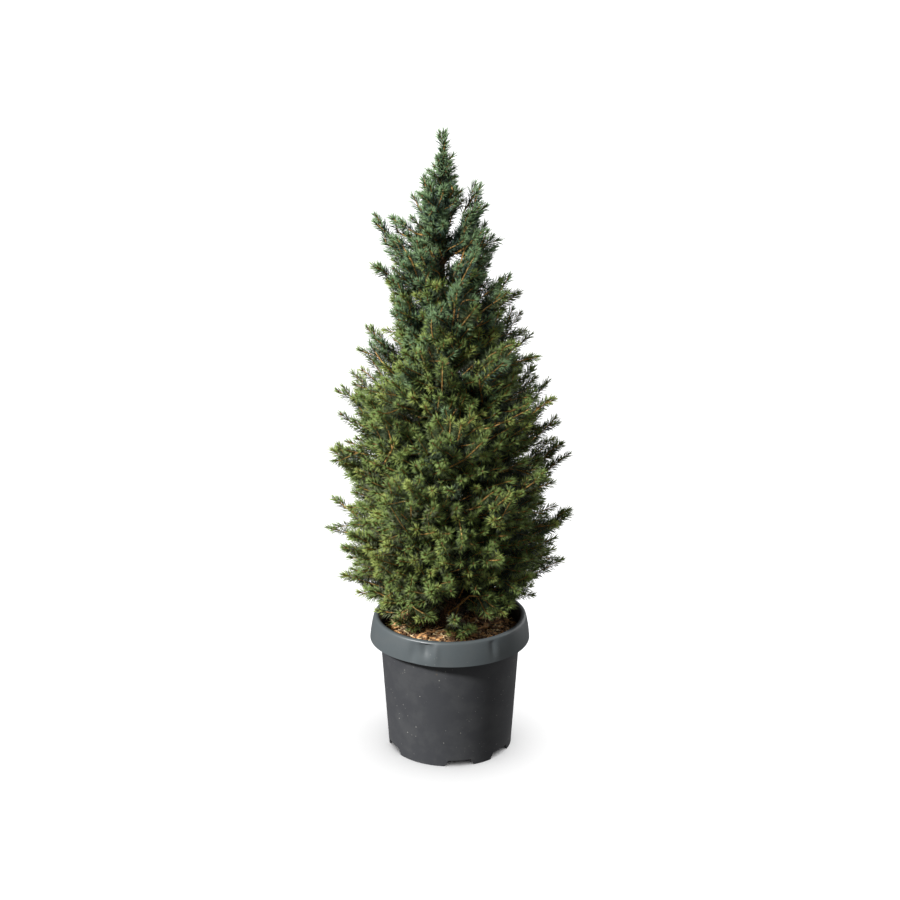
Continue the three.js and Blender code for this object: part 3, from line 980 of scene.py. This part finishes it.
def young_top_places():
    """Places for small shoots straight from the young top of the trunk, in a slim cone under its tip."""
    found = []
    for index, height in enumerate(np.arange(YOUNG_TOP_LOW, YOUNG_TOP_HIGH, YOUNG_TOP_STEP)):
        way = level_way(index * GOLDEN_ANGLE + roll.normal(0, 0.25))
        cone = max(YOUNG_TOP_CONE * (CROWN_HIGH - height), YOUNG_TOP_LEAST)
        found.append((trunk_at(height)[0] + way * cone * roll.uniform(0.55, 1), way))
    return found


def leading_places():
    """Places just outside the skin wherever it stands further out than anywhere near."""
    found = []
    for row, height in enumerate(LEVELS):
        nearby = REACH[max(row - 2, 0) : row + 3]
        for column, turn in enumerate(TURNS):
            if REACH[row, column] < nearby.take(range(column - 3, column + 4), axis=1, mode="wrap").max():
                continue
            way = level_way(turn)
            found.append((trunk_at(height)[0] + way * (REACH[row, column] + LEADING_BY), way))
    return found


tips["foliage_leader"] += young_top_places()
leading = leading_places()
for place, way in leading:
    tips[nearest_mass(place)].append((place, way))
print("shoots that lead:", len(leading))


# %% [markdown]
# ### The way a shoot points
# Shoots turn up towards the light: low ones lie nearly level, and those by the tip stand steep. They also
# spread sideways and follow the slope of the skin that they end on. The lift comes from a short curve of
# angles over the crown's height, and each shoot draws its own difference from it.

# %% The way a shoot points
# Lift above the level, in degrees, by share of the crown's height: level at the foot, steep at the top
LIFT_SHARES = [0, 0.12, 0.3, 0.55, 0.8, 1]
LIFT_DEGREES = [4, 18, 34, 44, 50, 62]
LIFT_SPREAD = 13
TURN_SPREAD = 27
FOLLOWS_SKIN = 0.4


def crown_share(place):
    """A place's height as a share of the crown's."""
    return (place[2] - CROWN_LOW) / (CROWN_HIGH - CROWN_LOW)


def heading_at(place, normal):
    """The direction of a shoot as it ends at a place on a skin with this normal."""
    usual = np.interp(crown_share(place), LIFT_SHARES, LIFT_DEGREES)
    lift = math.radians(usual + roll.normal(0, LIFT_SPREAD))
    away = outward_from_trunk(place)
    turn = math.radians(roll.normal(0, TURN_SPREAD))
    swung = np.array([
        away[0] * math.cos(turn) - away[1] * math.sin(turn),
        away[0] * math.sin(turn) + away[1] * math.cos(turn),
        0,
    ])
    heading = swung * math.cos(lift) + UP * math.sin(lift) + FOLLOWS_SKIN * normal
    return heading / np.linalg.norm(heading)


print("lift of the shoots, low to high:", LIFT_DEGREES)


# %% [markdown]
# ### Windows in the crown
# A crown isn't tight everywhere. Beside the young trunk the sky shows through, and low at the front there is
# a hollow round one bare bough. Needles could be deleted by hand there. Instead each opening is a tube in
# which nothing grows, along the direction in which one looks down at the plant.

# %% The windows of the crown
# Each window runs back and down: x and height at the trunk, radius, fall, and the depth where it ends
WINDOWS = [(8 * MM, 765 * MM, 7 * MM, 0.19, 1.0), (1 * MM, 752 * MM, 5 * MM, 0.19, 1.0),
           (8 * MM, 716 * MM, 7 * MM, 0.2, 1.0), (-3 * MM, 203 * MM, 12 * MM, 0.42, -0.028),
           (9 * MM, 217 * MM, 14 * MM, 0.415, -0.045), (23 * MM, 228 * MM, 13 * MM, 0.41, -0.062)]


def in_window(points, margin):
    """Whether each point is in one of the tubes or within a margin of it."""
    found = np.zeros(len(points), bool)
    for x, height, radius, fall, end in WINDOWS:
        level = height - fall * points[:, 1]
        near = np.hypot(points[:, 0] - x, points[:, 2] - level) < radius + margin
        found |= near & (points[:, 1] < end)
    return found


print("windows:", len(WINDOWS))


# %% [markdown]
# ### Growing the limbs
# A line is kept for each limb, as points with directions. A new shoot knows where it has to end and which
# way it points there, so it works out where it would naturally have begun, looks for the nearest older limb
# that runs the same way, and joins it with a smooth curve. Done from the inside out, this gives forks, forks
# on forks and bushy ends, as pruning and light give them, with no two alike.

# %% Growing the limbs of one mass
STEP = 8 * MM
SHOOT_LEAST = 9 * MM
SHOOT_SHORTEST = 38 * MM
SHOOT_LONGEST = 68 * MM
ASTRAY_COST = 1.5  # how dear a limb is that runs across the new shoot
AGREEMENT_WORTH = 0.7  # how much cheaper one is that runs its way
LIMB_WAY = 0.55  # a shoot leaves its limb partly the way the limb runs
OWN_WAY = 0.45  # and partly straight at its own end
CURVE_PULL = 0.85  # how firmly its curve keeps to the ways at its two ends


class Limbs:
    """The limbs of one mass: every shoot is a line that starts on an older one."""

    def __init__(self):
        self.lines, self.parents = [], []
        self.places, self.headings, self.owners = [], [], []

    def keep(self, line, headings, parent):
        self.lines.append(line)
        self.parents.append(parent)
        for index, (place, heading) in enumerate(zip(line, headings)):
            self.places.append(place)
            self.headings.append(heading)
            self.owners.append((len(self.lines) - 1, index))

    def send(self, target, heading, length):
        """A shoot to the target from the limb that is nearest to where it would naturally begin."""
        places, headings = np.array(self.places), np.array(self.headings)
        begin = target - heading * length
        onward = target - places
        distance = np.linalg.norm(onward, axis=1)
        agreement = (onward * headings).sum(1) / np.maximum(distance, 1e-9)
        cost = np.linalg.norm(places - begin, axis=1) * (ASTRAY_COST - AGREEMENT_WORTH * agreement)
        cost[distance < SHOOT_LEAST] += 1
        best = int(cost.argmin())
        pull = CURVE_PULL * distance[best]
        first = LIMB_WAY * headings[best] + OWN_WAY * onward[best] / distance[best]
        count = max(3, int(distance[best] / STEP) + 1)
        t = np.linspace(0, 1, count)[:, None]
        line = (
            (2 * t**3 - 3 * t**2 + 1) * places[best]
            + (t**3 - 2 * t**2 + t) * first * pull
            + (3 * t**2 - 2 * t**3) * target
            + (t**3 - t**2) * heading * pull
        )
        if in_window(line, 0).any():
            return
        ways = np.gradient(line, axis=0)
        self.keep(line, ways / np.linalg.norm(ways, axis=1, keepdims=True), self.owners[best])


NEEDLED_TRUNK = 640 * MM  # above this the trunk itself still carries needles and small shoots


def main_bough(node):
    """The line of a mass's own bough: from the trunk, or on from its bare bough, to its furthest tip."""
    corners = SURFACES[node][0]
    if node == "foliage_leader":
        top = corners[corners[:, 2].argmax()]
        heights = np.linspace(NEEDLED_TRUNK, TRUNK[-1, 0], 7)
        return smooth_line([*(trunk_at(z)[0] for z in heights), top - 5 * MM * UP], STEP)
    away = np.linalg.norm(corners - trunk_at(corners[:, 2].min())[0], axis=1)
    end, middle = corners[away.argmax()], corners.mean(0)
    bare = node.replace("foliage", "bough")
    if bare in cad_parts:
        begin = list(bough_line(bare))
        middle = 0.5 * begin[-1] + 0.5 * (0.5 * middle + 0.5 * end)
    else:
        drop = 0.25 * away.max()
        begin = [trunk_at(max(corners[away.argmin()][2] - drop * 0.3, TRUNK[0, 0] + 8 * MM))[0]]
        middle = 0.75 * middle + 0.25 * begin[0]
    tip = end - LAST_NEEDLES * (end - middle) / np.linalg.norm(end - middle)
    return smooth_line([*begin, middle, tip], STEP)


def grow_mass(node):
    limbs = Limbs()
    limbs.keep(*main_bough(node), None)
    start = limbs.lines[0][0]
    wanted = sorted(tips[node], key=lambda tip: np.linalg.norm(tip[0] - start))
    for place, normal in wanted:
        heading = heading_at(place, normal)
        off_bough = np.linalg.norm(limbs.lines[0] - place, axis=1).min()
        length = min(roll.uniform(SHOOT_SHORTEST, SHOOT_LONGEST), 1.6 * off_bough + 7 * MM)
        limbs.send(place - LAST_NEEDLES * heading, heading, length)
    return limbs


print("limbs can be grown for", len(MASSES), "masses")


# %% [markdown]
# ### The bare bough at the front
# One low bough at the front has lost its inner needles, and its tan wood shows across the dark hollow under
# the crown. All of it takes the pale young bark, partly as painted light for the sun that it catches there.
# It belongs to no lump of the frame, so its course is given by a few points, in millimetres, and the last
# five shoots are sent from it like any others.

# %% The front bough and the whole crown
FRONT_BOUGH = [(0, -8, 190), (-2, -15, 205), (7, -27, 218), (19, -43, 235), (30, -60, 251), (46, -76, 252),
               (62, -88, 244)]
FRONT_SPRAY = [(52, -92, 264), (72, -82, 260), (74, -94, 238), (54, -99, 238), (84, -74, 244)]
FRONT_SHOOT = 30 * MM


def front_bough():
    """A bough that carries needles only on its last spray."""
    limbs = Limbs()
    limbs.keep(*smooth_line(MM * np.array(FRONT_BOUGH, float), STEP), None)
    for place in MM * np.array(FRONT_SPRAY, float):
        limbs.send(place, heading_at(place, outward_from_trunk(place)), FRONT_SHOOT)
    return limbs


CROWN = {node: grow_mass(node) for node in MASSES}
CROWN["front_bough"] = front_bough()
print("limbs grown:", sum(len(c.lines) for c in CROWN.values()))


# %% [markdown]
# ## Twigs
# A limb is as thick as all that it carries, so each line's radius comes from the number of shoots beyond
# it. The lines become edges with a thickness, and Geometry Nodes sweep a small round section along them.
# Young wood is orange-tan and old wood is brown, so each line is split where it turns old.

# %% How much each limb carries
YOUNG_LENGTH = 75 * MM
TWIG_THINNEST = 0.72 * MM
TWIG_GROWTH = 0.33  # the power of its load by which a limb is thicker
TWIG_TAPER = 0.35 * MM


def carried(limbs):
    """For each line, the number of shoot tips beyond each of its points."""
    loads = [np.ones(len(line)) for line in limbs.lines]
    for index in range(len(limbs.lines) - 1, 0, -1):
        owner, at = limbs.parents[index]
        loads[owner][: at + 1] += loads[index][0]
    return loads


def to_tip(line):
    """The distance from each point to the line's end."""
    steps = np.linalg.norm(np.diff(line, axis=0), axis=1)
    return np.concatenate([np.cumsum(steps[::-1])[::-1], [0]])


def twig_radius(load, beyond):
    return TWIG_THINNEST * load**TWIG_GROWTH + TWIG_TAPER * np.clip(beyond / YOUNG_LENGTH, 0, 1)


def edge_mesh(name, chains, fields):
    """Chains of points as edges, with the named numbers on each point."""
    corners, edges, values = [], [], {field: [] for field in fields}
    for line, numbers in chains:
        first = len(corners)
        corners += list(line)
        edges += [(first + i, first + i + 1) for i in range(len(line) - 1)]
        for field in fields:
            values[field] += list(numbers[field])
    mesh = mesh_of(name, corners, edges=edges)
    for field in fields:
        attribute = mesh.attributes.new(field, "FLOAT", "POINT")
        attribute.data.foreach_set("value", np.array(values[field], np.float32))
    return mesh


def twig_tree():
    """Sweeps a small round section along edges, at the thickness that each point holds."""
    graph, given = new_tree("twig_sweep", {"Sides": "Int", "Material": "Material"})
    lines = graph.add("GeometryNodeMeshToCurve", sockets={"Mesh": given["Geometry"]})
    thickness = graph.add("GeometryNodeInputNamedAttribute", {"data_type": "FLOAT"}, {"Name": "thickness"})
    section = graph.add(
        "GeometryNodeCurvePrimitiveCircle", sockets={"Resolution": given["Sides"], "Radius": 1.0}
    )
    swept = graph.add(
        "GeometryNodeCurveToMesh",
        sockets={
            "Curve": lines.outputs[0],
            "Profile Curve": section.outputs[0],
            "Scale": thickness.outputs["Attribute"],
            "Fill Caps": True,
        },
    )
    end_tree(graph, swept.outputs[0], given["Material"])
    return graph.tree


young_chains, old_chains = [], []
for name, limbs in CROWN.items():
    for line, load in zip(limbs.lines, carried(limbs)):
        beyond = to_tip(line)
        numbers = {"thickness": twig_radius(load, beyond)}
        # The front bough's whole line takes the pale young bark, partly as painted light for the sun that it
        # catches.
        split = 0 if name == "front_bough" else int((beyond > YOUNG_LENGTH).sum())
        if split >= 2:
            old_chains.append((line[:split], {"thickness": numbers["thickness"][:split]}))
        if len(line) - max(split - 1, 0) >= 2:
            start = max(split - 1, 0)
            young_chains.append((line[start:], {"thickness": numbers["thickness"][start:]}))

young_bark = bark_finish("young_bark", light(152, 112, 60), light(204, 158, 92), light(236, 198, 132))
sweeping = twig_tree()
twigs = [
    grown("twigs_young", sweeping, edge_mesh("young", young_chains, ["thickness"]), {"Sides": 3}, young_bark),
    grown("twigs_old", sweeping, edge_mesh("old", old_chains, ["thickness"]), {"Sides": 5}, old_bark),
]
for piece in twigs:
    settle(piece, "bark")


# %% [markdown]
# ### Bare boughs with their relief
# The lowest boughs have no needles near the trunk and are seen close by, over the mix. A swept round tube
# would look like wire there, so they are lofted with the same bark relief as the trunk, each along the line
# of its own solid.

# %% Bare boughs
BOUGH_STEP = 1.5 * MM
BOUGH_THICK = 3.5 * MM
BOUGH_SLIM = 2.2 * MM
BOUGH_SIDES = 14

bough_nodes = sorted(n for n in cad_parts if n.startswith("bough_"))
for node in bough_nodes:
    line, headings = smooth_line(bough_line(node), BOUGH_STEP)
    radii = np.linspace(BOUGH_THICK, BOUGH_SLIM, len(line))
    skin = barked(line, headings, radii, BOUGH_SIDES)
    piece = piece_of(node + "_bark", mesh_of(node + "_bark", *skin), old_bark)
    settle(piece, "bark", node)
print("bare boughs:", len(bough_nodes))


# %% [markdown]
# ## Needles
# A spruce needle is a stiff, four-sided spine about 12 mm long that stands on its own small peg. Needles
# sit in a spiral, a golden angle apart, and lean forward: wide apart along the shoot, and gathered round
# the bud at its tip. One needle is a slim spindle of four faces. Geometry Nodes space the shoots' lines
# evenly, turn a needle by the golden angle at each place and tilt it by the number the line holds.

# %% One needle
NEEDLE_LENGTH = 14.5 * MM
NEEDLE_WIDTH = 1.25 * MM
NEEDLE_SPACING = 0.64 * MM
TUFT_NEEDLE_SPACING = 0.44 * MM


def needle_mesh():
    """A spindle one unit long and wide: a straight back and a keel, pointed at both ends."""
    corners = [(0, -0.35, 0), (0, -0.35, 1), (0.5, 0.3, 0.5), (-0.5, 0.3, 0.5)]
    return mesh_of("needle_shape", corners, [(0, 2, 1), (0, 1, 3), (0, 3, 2), (1, 2, 3)])


def needle_tree():
    """Needles in a spiral round every line: one at each even step, leaning by the line's tilt."""
    inputs = {"Needle": "Object", "Spacing": "Float", "Length": "Float", "Width": "Float", "Seed": "Int",
              "Material": "Material"}
    graph, given = new_tree("needle_spiral", inputs)

    def number(name):
        node = graph.add("GeometryNodeInputNamedAttribute", {"data_type": "FLOAT"}, {"Name": name})
        return Number(graph, node.outputs["Attribute"])

    def draw(low, high, shift):
        seed = Number(graph, given["Seed"]) + shift
        sockets = {"Min": low, "Max": high, "Seed": seed}
        node = graph.add("FunctionNodeRandomValue", {"data_type": "FLOAT"}, sockets)
        return Number(graph, node.outputs["Value"])

    def turned(rotation, axis, angle):
        by = graph.add("FunctionNodeAxisAngleToRotation", sockets={"Axis": axis, "Angle": angle})
        sockets = {"Rotation": rotation, "Rotate By": by.outputs[0]}
        return graph.add("FunctionNodeRotateRotation", {"rotation_space": "LOCAL"}, sockets).outputs[0]

    lines = graph.add("GeometryNodeMeshToCurve", sockets={"Mesh": given["Geometry"]})
    sockets = {"Curve": lines.outputs[0], "Length": given["Spacing"]}
    spaced = graph.add("GeometryNodeResampleCurve", {"mode": "LENGTH"}, sockets)
    tangent = graph.add("GeometryNodeInputTangent").outputs[0]
    index = Number(graph, graph.add("GeometryNodeInputIndex").outputs[0])
    along = graph.add("FunctionNodeAlignRotationToVector", {"axis": "Z"}, {"Vector": tangent}).outputs[0]
    spun = turned(along, (0, 0, 1), index * GOLDEN_ANGLE + draw(-0.5, 0.5, 1))
    leant = turned(spun, (1, 0, 0), number("tilt") + draw(-0.22, 0.22, 2))
    width = Number(graph, given["Width"]) * draw(0.85, 1.15, 3)
    length = Number(graph, given["Length"]) * number("size") * draw(0.78, 1.12, 4)
    scale = graph.add("ShaderNodeCombineXYZ", sockets={0: width, 1: width, 2: length})
    shape = graph.add("GeometryNodeObjectInfo", sockets={"Object": given["Needle"]})
    standing = graph.add(
        "GeometryNodeInstanceOnPoints",
        sockets={
            "Points": spaced.outputs[0],
            "Selection": draw(0.0, 1.0, 5) < number("share"),
            "Instance": shape.outputs["Geometry"],
            "Rotation": leant,
            "Scale": scale.outputs[0],
        },
    )
    end_tree(graph, standing.outputs[0], given["Material"])
    return graph.tree


print("needle", NEEDLE_LENGTH, "long")


# %% [markdown]
# ### Greens by spray
# The crown isn't one green. Its top is a cool dark blue-green, its middle a fresh green, and the newest
# growth at each tip is yellower. Its lower left is painted a paler grey-olive for the strong light on that
# side, and its lower right a darker green as painted shade. Each spray is dealt one plain colour by where it
# stands, with some chance, and its tip another.

# %% Dealing out the greens
GREENS = {
    "needles_blue": light(60, 82, 67),
    "needles_cool": light(66, 81, 58),
    "needles_fresh": light(72, 85, 51),
    "needles_leaf": light(82, 93, 55),
    # Painted light: paler for the strong light on the crown's lower left.
    "needles_olive": light(99, 106, 76),
    # Painted shade: darker for the crown's shaded lower right and for the tips deep inside it.
    "needles_deep": light(53, 64, 40),
    # Near black: partly old, dull needles and partly painted shade for the crown's dark inside.
    "needles_inner": light(31, 36, 23),
    "tips_blue": light(108, 134, 92),
    "tips_fresh": light(113, 132, 69),
    "tips_yellow": light(138, 151, 78),
}
CROWN_RADIUS = 170 * MM
TUFT = 13 * MM  # how much of a shoot's end carries its newest needles
# Beyond OLD_FROM the needles are coloured near black: partly their dullness with age, partly painted shade.
OLD_FROM = 44 * MM  # beyond this a shoot's needles are old, dull and dark
NEEDLED_FULL = 50 * MM
NEEDLED_THIN = 110 * MM
NEEDLED_NONE = 220 * MM


def spray_green(place):
    """The green of a spray that ends at this place, and of its tip."""
    height = crown_share(place) + roll.normal(0, 0.06)
    side = place[0] / CROWN_RADIUS + roll.normal(0, 0.25)
    if roll.random() < np.interp(height, [0.5, 0.82], [0, 1]):
        return ("needles_blue" if roll.random() < 0.58 else "needles_cool"), "tips_blue"
    tip = "tips_yellow" if roll.random() < 0.22 else "tips_fresh"
    # Painted light: low sprays on the lit left are dealt the paler olive.
    if height < 0.34 and side < -0.15:
        return ("needles_olive" if roll.random() < 0.6 else "needles_leaf"), tip
    # Painted shade: low sprays on the shaded right are dealt the darker green.
    if height < 0.5 and side > 0.35:
        return ("needles_deep" if roll.random() < 0.5 else "needles_cool"), tip
    if roll.random() < 0.55:
        return "needles_fresh", tip
    return ("needles_leaf" if roll.random() < 0.5 else "needles_cool"), tip


def part_of(line, beyond, low, high):
    """The stretch of a line whose distance from the tip is between low and high, with exact ends."""
    marks = beyond[::-1]
    inside = marks[(marks > low) & (marks < min(high, marks[-1]))]
    even = np.unique(np.concatenate([[low], inside, [min(high, marks[-1])]]))[::-1]
    return np.column_stack([np.interp(even, marks, line[::-1, k]) for k in range(3)]), even


print("greens:", len(GREENS))


# %% [markdown]
# ### Growing the needles
# On a fresh shoot the needles are dense and stand all round it; further back they thin out, lie wider and
# are old and dull, and the wood shows. Their near-black green there is partly that dullness and partly
# painted shade for the crown's dark inside, and shoots that end deep in the crown take painted-shade greens
# along their whole length. So each limb is cut into stretches by its distance from the tip. A stretch takes
# one green, and its points hold the tilt, the size and the share of needles still there. Each green is one
# piece, grown by the same tree.

# %% Needles, green by green
TILT_AT = [0, 2 * MM, 8 * MM, 20 * MM, 60 * MM]
TILTS = [0.3, 0.55, 0.78, 0.9, 1.05]
SIZE_AT = [0, 4 * MM, 60 * MM, 120 * MM]
SIZES = [0.85, 1.0, 1.0, 0.85]
SHARE_AT = [NEEDLED_FULL, NEEDLED_THIN, NEEDLED_NONE]
SHARES = [1.0, 0.35, 0.12]
TOP_KEEPS = 0.65  # how much longer the shoots near the top keep their needles
FRONT_BARE = 2.6  # how much sooner the front bough's own line loses them
FRONT_LINE = 12  # the front bough's own line has more points than this, and its shoots have fewer
INNER_NEAR = 9 * MM
INNER_SHARE = 0.62
WINDOW_MARGIN = 3 * MM


def needled(points, far, ageing, fullness):
    """The share of needles that each point of a stretch still has."""
    kept = np.interp(far * ageing, SHARE_AT, SHARES) * fullness
    return np.where(in_window(points, WINDOW_MARGIN), 0.0, kept)


sprays = {green: [] for green in GREENS}
for name, limbs in CROWN.items():
    for line in limbs.lines:
        beyond = to_tip(line)
        body, tuft = spray_green(line[-1])
        ageing = 1 - TOP_KEEPS * crown_share(line[-1])
        if name == "front_bough" and len(line) > FRONT_LINE:
            ageing = FRONT_BARE
        vigour, fullness = roll.uniform(0.86, 1.1), 1.0
        # Painted shade: shoots that end deep in the crown are dealt the near-black greens for its dark
        # middle.
        if np.linalg.norm(INNER_PLACES - line[-1], axis=1).min() < INNER_NEAR:
            body, tuft, fullness = "needles_inner", "needles_deep", INNER_SHARE
        # The old stretch of every shoot takes the near-black green, partly as painted shade.
        stretches = ((tuft, 0.0, TUFT), (body, TUFT, OLD_FROM), ("needles_inner", OLD_FROM, NEEDLED_NONE))
        for green, low, high in stretches:
            if beyond[0] <= low + 1 * MM:
                continue
            points, far = part_of(line, beyond, low, high)
            numbers = {
                "tilt": np.interp(far, TILT_AT, TILTS),
                "size": np.interp(far, SIZE_AT, SIZES) * vigour,
                "share": needled(points, far, ageing, fullness),
            }
            sprays[green].append((points, numbers))

needle_shape = piece_of("needle_shape", needle_mesh())
spiral = needle_tree()
needle_count = 0
foliage_pieces = []
for number, (green, chains) in enumerate(sprays.items()):
    if not chains:
        continue
    spacing = TUFT_NEEDLE_SPACING if green.startswith("tips") else NEEDLE_SPACING
    values = {"Needle": needle_shape, "Spacing": spacing, "Length": NEEDLE_LENGTH, "Width": NEEDLE_WIDTH,
              "Seed": 40 + 10 * number}
    finish = Finish(green, GREENS[green], 0.55, 0.3)
    piece = grown(green, spiral, edge_mesh(green, chains, ["tilt", "size", "share"]), values, finish.material)
    needle_count += len(piece.data.polygons) // 4
    foliage_pieces.append(piece)
bpy.data.objects.remove(needle_shape)
for piece in foliage_pieces:
    settle(piece, "needles", *MASSES)
print("needles:", needle_count)


# %% [markdown]
# ## Buds
# Each shoot ends in a small blunt bud with brown scales. Buds are small, but they give the tips their orange
# dots. They could be modelled once and placed by hand at a few tips; Geometry Nodes sets one at every tip, in
# the direction that the shoot ends in.

# %% Buds at the tips
BUD_LENGTH = 3.4 * MM


def bud_mesh():
    """A blunt cone of four sides, about one unit long."""
    rings = [[(x, y, z) for x, y in circle(radius, 4)] for radius, z in ((0.36, 0), (0.26, 0.75))]
    return mesh_of("bud_shape", *loft(rings))


def bud_tree():
    """A bud on every point, along the way that the point holds."""
    inputs = {"Bud": "Object", "Length": "Float", "Seed": "Int", "Material": "Material"}
    graph, given = new_tree("buds", inputs)
    way = graph.add("GeometryNodeInputNamedAttribute", {"data_type": "FLOAT_VECTOR"}, {"Name": "way"})
    along = graph.add(
        "FunctionNodeAlignRotationToVector", {"axis": "Z"}, {"Vector": way.outputs["Attribute"]}
    )
    size = graph.add(
        "FunctionNodeRandomValue", {"data_type": "FLOAT"}, {"Min": 0.75, "Max": 1.2, "Seed": given["Seed"]}
    )
    length = Number(graph, size.outputs["Value"]) * Number(graph, given["Length"])
    shape = graph.add("GeometryNodeObjectInfo", sockets={"Object": given["Bud"]})
    standing = graph.add(
        "GeometryNodeInstanceOnPoints",
        sockets={
            "Points": given["Geometry"],
            "Instance": shape.outputs["Geometry"],
            "Rotation": along.outputs[0],
            "Scale": length,
        },
    )
    end_tree(graph, standing.outputs[0], given["Material"])
    return graph.tree


places, ways = [], []
for limbs in CROWN.values():
    for line in limbs.lines:
        way = line[-1] - line[-2]
        places.append(line[-1])
        ways.append(way / np.linalg.norm(way))
bud_points = mesh_of("bud_points", places)
attribute = bud_points.attributes.new("way", "FLOAT_VECTOR", "POINT")
attribute.data.foreach_set("vector", np.array(ways, np.float32).ravel())
bud_shape = piece_of("bud_shape", bud_mesh())
bud_finish = Finish("bud_scales", light(128, 92, 56), 0.6)
values = {"Bud": bud_shape, "Length": BUD_LENGTH, "Seed": 5}
buds = grown("buds", bud_tree(), bud_points, values, bud_finish.material)
bpy.data.objects.remove(bud_shape)
settle(buds, "bark")
print("buds:", len(places))


# %% [markdown]
# ## Floor
# The plant stands on a plain pale studio floor. A flat plane would end at a horizon, with a grey sky above
# it in low views, so the floor is a wide dish whose far edge turns up, like a studio's paper sweep. It sends
# no light back up at the plant, so that the crown's shaded side stays deep.

# %% Floor
FLOOR_FLAT = 20.0
FLOOR_RADIUS = 60.0
FLOOR_RISE = 18.0
FLOOR_MIDDLE = 4.0
FLOOR_RINGS = 17
FLOOR_SIDES = 96


def floor_mesh():
    """A flat floor whose far edge turns up, so that it lies behind the plant from low views too."""
    rings = []
    for radius in [*np.linspace(FLOOR_RADIUS, FLOOR_FLAT, FLOOR_RINGS), FLOOR_MIDDLE]:
        height = FLOOR_RISE * (max(0.0, radius - FLOOR_FLAT) / (FLOOR_RADIUS - FLOOR_FLAT)) ** 2
        rings.append([(x, y, height) for x, y in circle(radius, FLOOR_SIDES)])
    corners, faces = loft(rings, closed_ends=False)
    middle = tuple(range(len(corners) - FLOOR_SIDES, len(corners)))
    return mesh_of("floor", corners, [*faces, middle])


floor = piece_of("floor", floor_mesh(), Finish("pale_floor", light(238, 238, 238), 1.0, 0.0).material)
floor.visible_diffuse = False
floor.visible_glossy = False
floor.visible_shadow = False
print("floor faces", len(floor.data.polygons))


# %% [markdown]
# ## Light
# A key light from the upper left and front gives the crown its light and dark sides, a wide one from behind
# on the right lifts the edge of the shade, and a faint pale sky fills the gaps. The floor has a wash of its
# own, straight down and shaded only by the pot, so that it stays pale with one soft shadow at the foot. Light
# linking keeps the key off the floor and the wash off the plant.

# %% Light
KEY_FROM = Vector((-0.76, -0.57, 0.74)).normalized()
KEY_STRENGTH = 6.5
KEY_SPREAD = 9
SKY_STRENGTH = 0.2
BACK_FROM = Vector((0.75, 0.62, 0.4)).normalized()
BACK_STRENGTH = 1.25
BACK_SPREAD = 60
FLOOR_STRENGTH = 4.4
FLOOR_SPREAD = 120


def sun(name, towards, strength, spread):
    """A sun lamp in this direction, as wide in the sky as its spread in degrees."""
    data = bpy.data.lights.new(name, "SUN")
    data.energy = strength
    data.angle = math.radians(spread)
    lamp = bpy.data.objects.new(name, data)
    lamp.rotation_euler = Vector(towards).to_track_quat("Z", "Y").to_euler()
    scene.collection.objects.link(lamp)
    return lamp


def listing(name, piece, state):
    """A list of one piece that a lamp takes in or leaves out."""
    listed = bpy.data.collections.new(name)
    listed.objects.link(piece)
    listed.collection_objects[0].light_linking.link_state = state
    return listed


key = sun("key", KEY_FROM, KEY_STRENGTH, KEY_SPREAD)
key.light_linking.receiver_collection = listing("key_leaves_out", floor, "EXCLUDE")
back = sun("back_fill", BACK_FROM, BACK_STRENGTH, BACK_SPREAD)
back.light_linking.receiver_collection = listing("back_leaves_out", floor, "EXCLUDE")
wash = sun("floor_wash", UP, FLOOR_STRENGTH, FLOOR_SPREAD)
wash.light_linking.receiver_collection = listing("wash_lights", floor, "INCLUDE")
wash.light_linking.blocker_collection = listing("wash_is_blocked_by", pot, "INCLUDE")

world = bpy.data.worlds.new("pale_sky")
world.use_nodes = True
sky = world.node_tree.nodes["Background"]
sky.inputs["Color"].default_value = (1, 1, 1, 1)
sky.inputs["Strength"].default_value = SKY_STRENGTH
scene.world = world
print("lamps:", key.name, back.name, wash.name)


# %% [markdown]
# ## Camera
# The camera stands in front of the plant at a grown-up's chest height and looks slightly down, so that the
# pot's rim opens as an ellipse and the mix shows. A long lens from well away keeps the pot's sides nearly
# straight, where a short lens close by would splay them.

# %% Camera
CAMERA_AWAY = 2.400
CAMERA_HEIGHT = 1.209
CAMERA_PITCH = 17.64
CAMERA_LENS = 71.94
SENSOR_WIDTH = 36

camera_data = bpy.data.cameras.new("camera")
camera_data.lens = CAMERA_LENS
camera_data.sensor_width = SENSOR_WIDTH
camera = bpy.data.objects.new("camera", camera_data)
camera.location = (0, -CAMERA_AWAY, CAMERA_HEIGHT)
camera.rotation_euler = (math.radians(90 - CAMERA_PITCH), 0, 0)
scene.collection.objects.link(camera)
scene.camera = camera
print("camera at", [round(v, 3) for v in camera.location], "looking down", CAMERA_PITCH, "degrees")
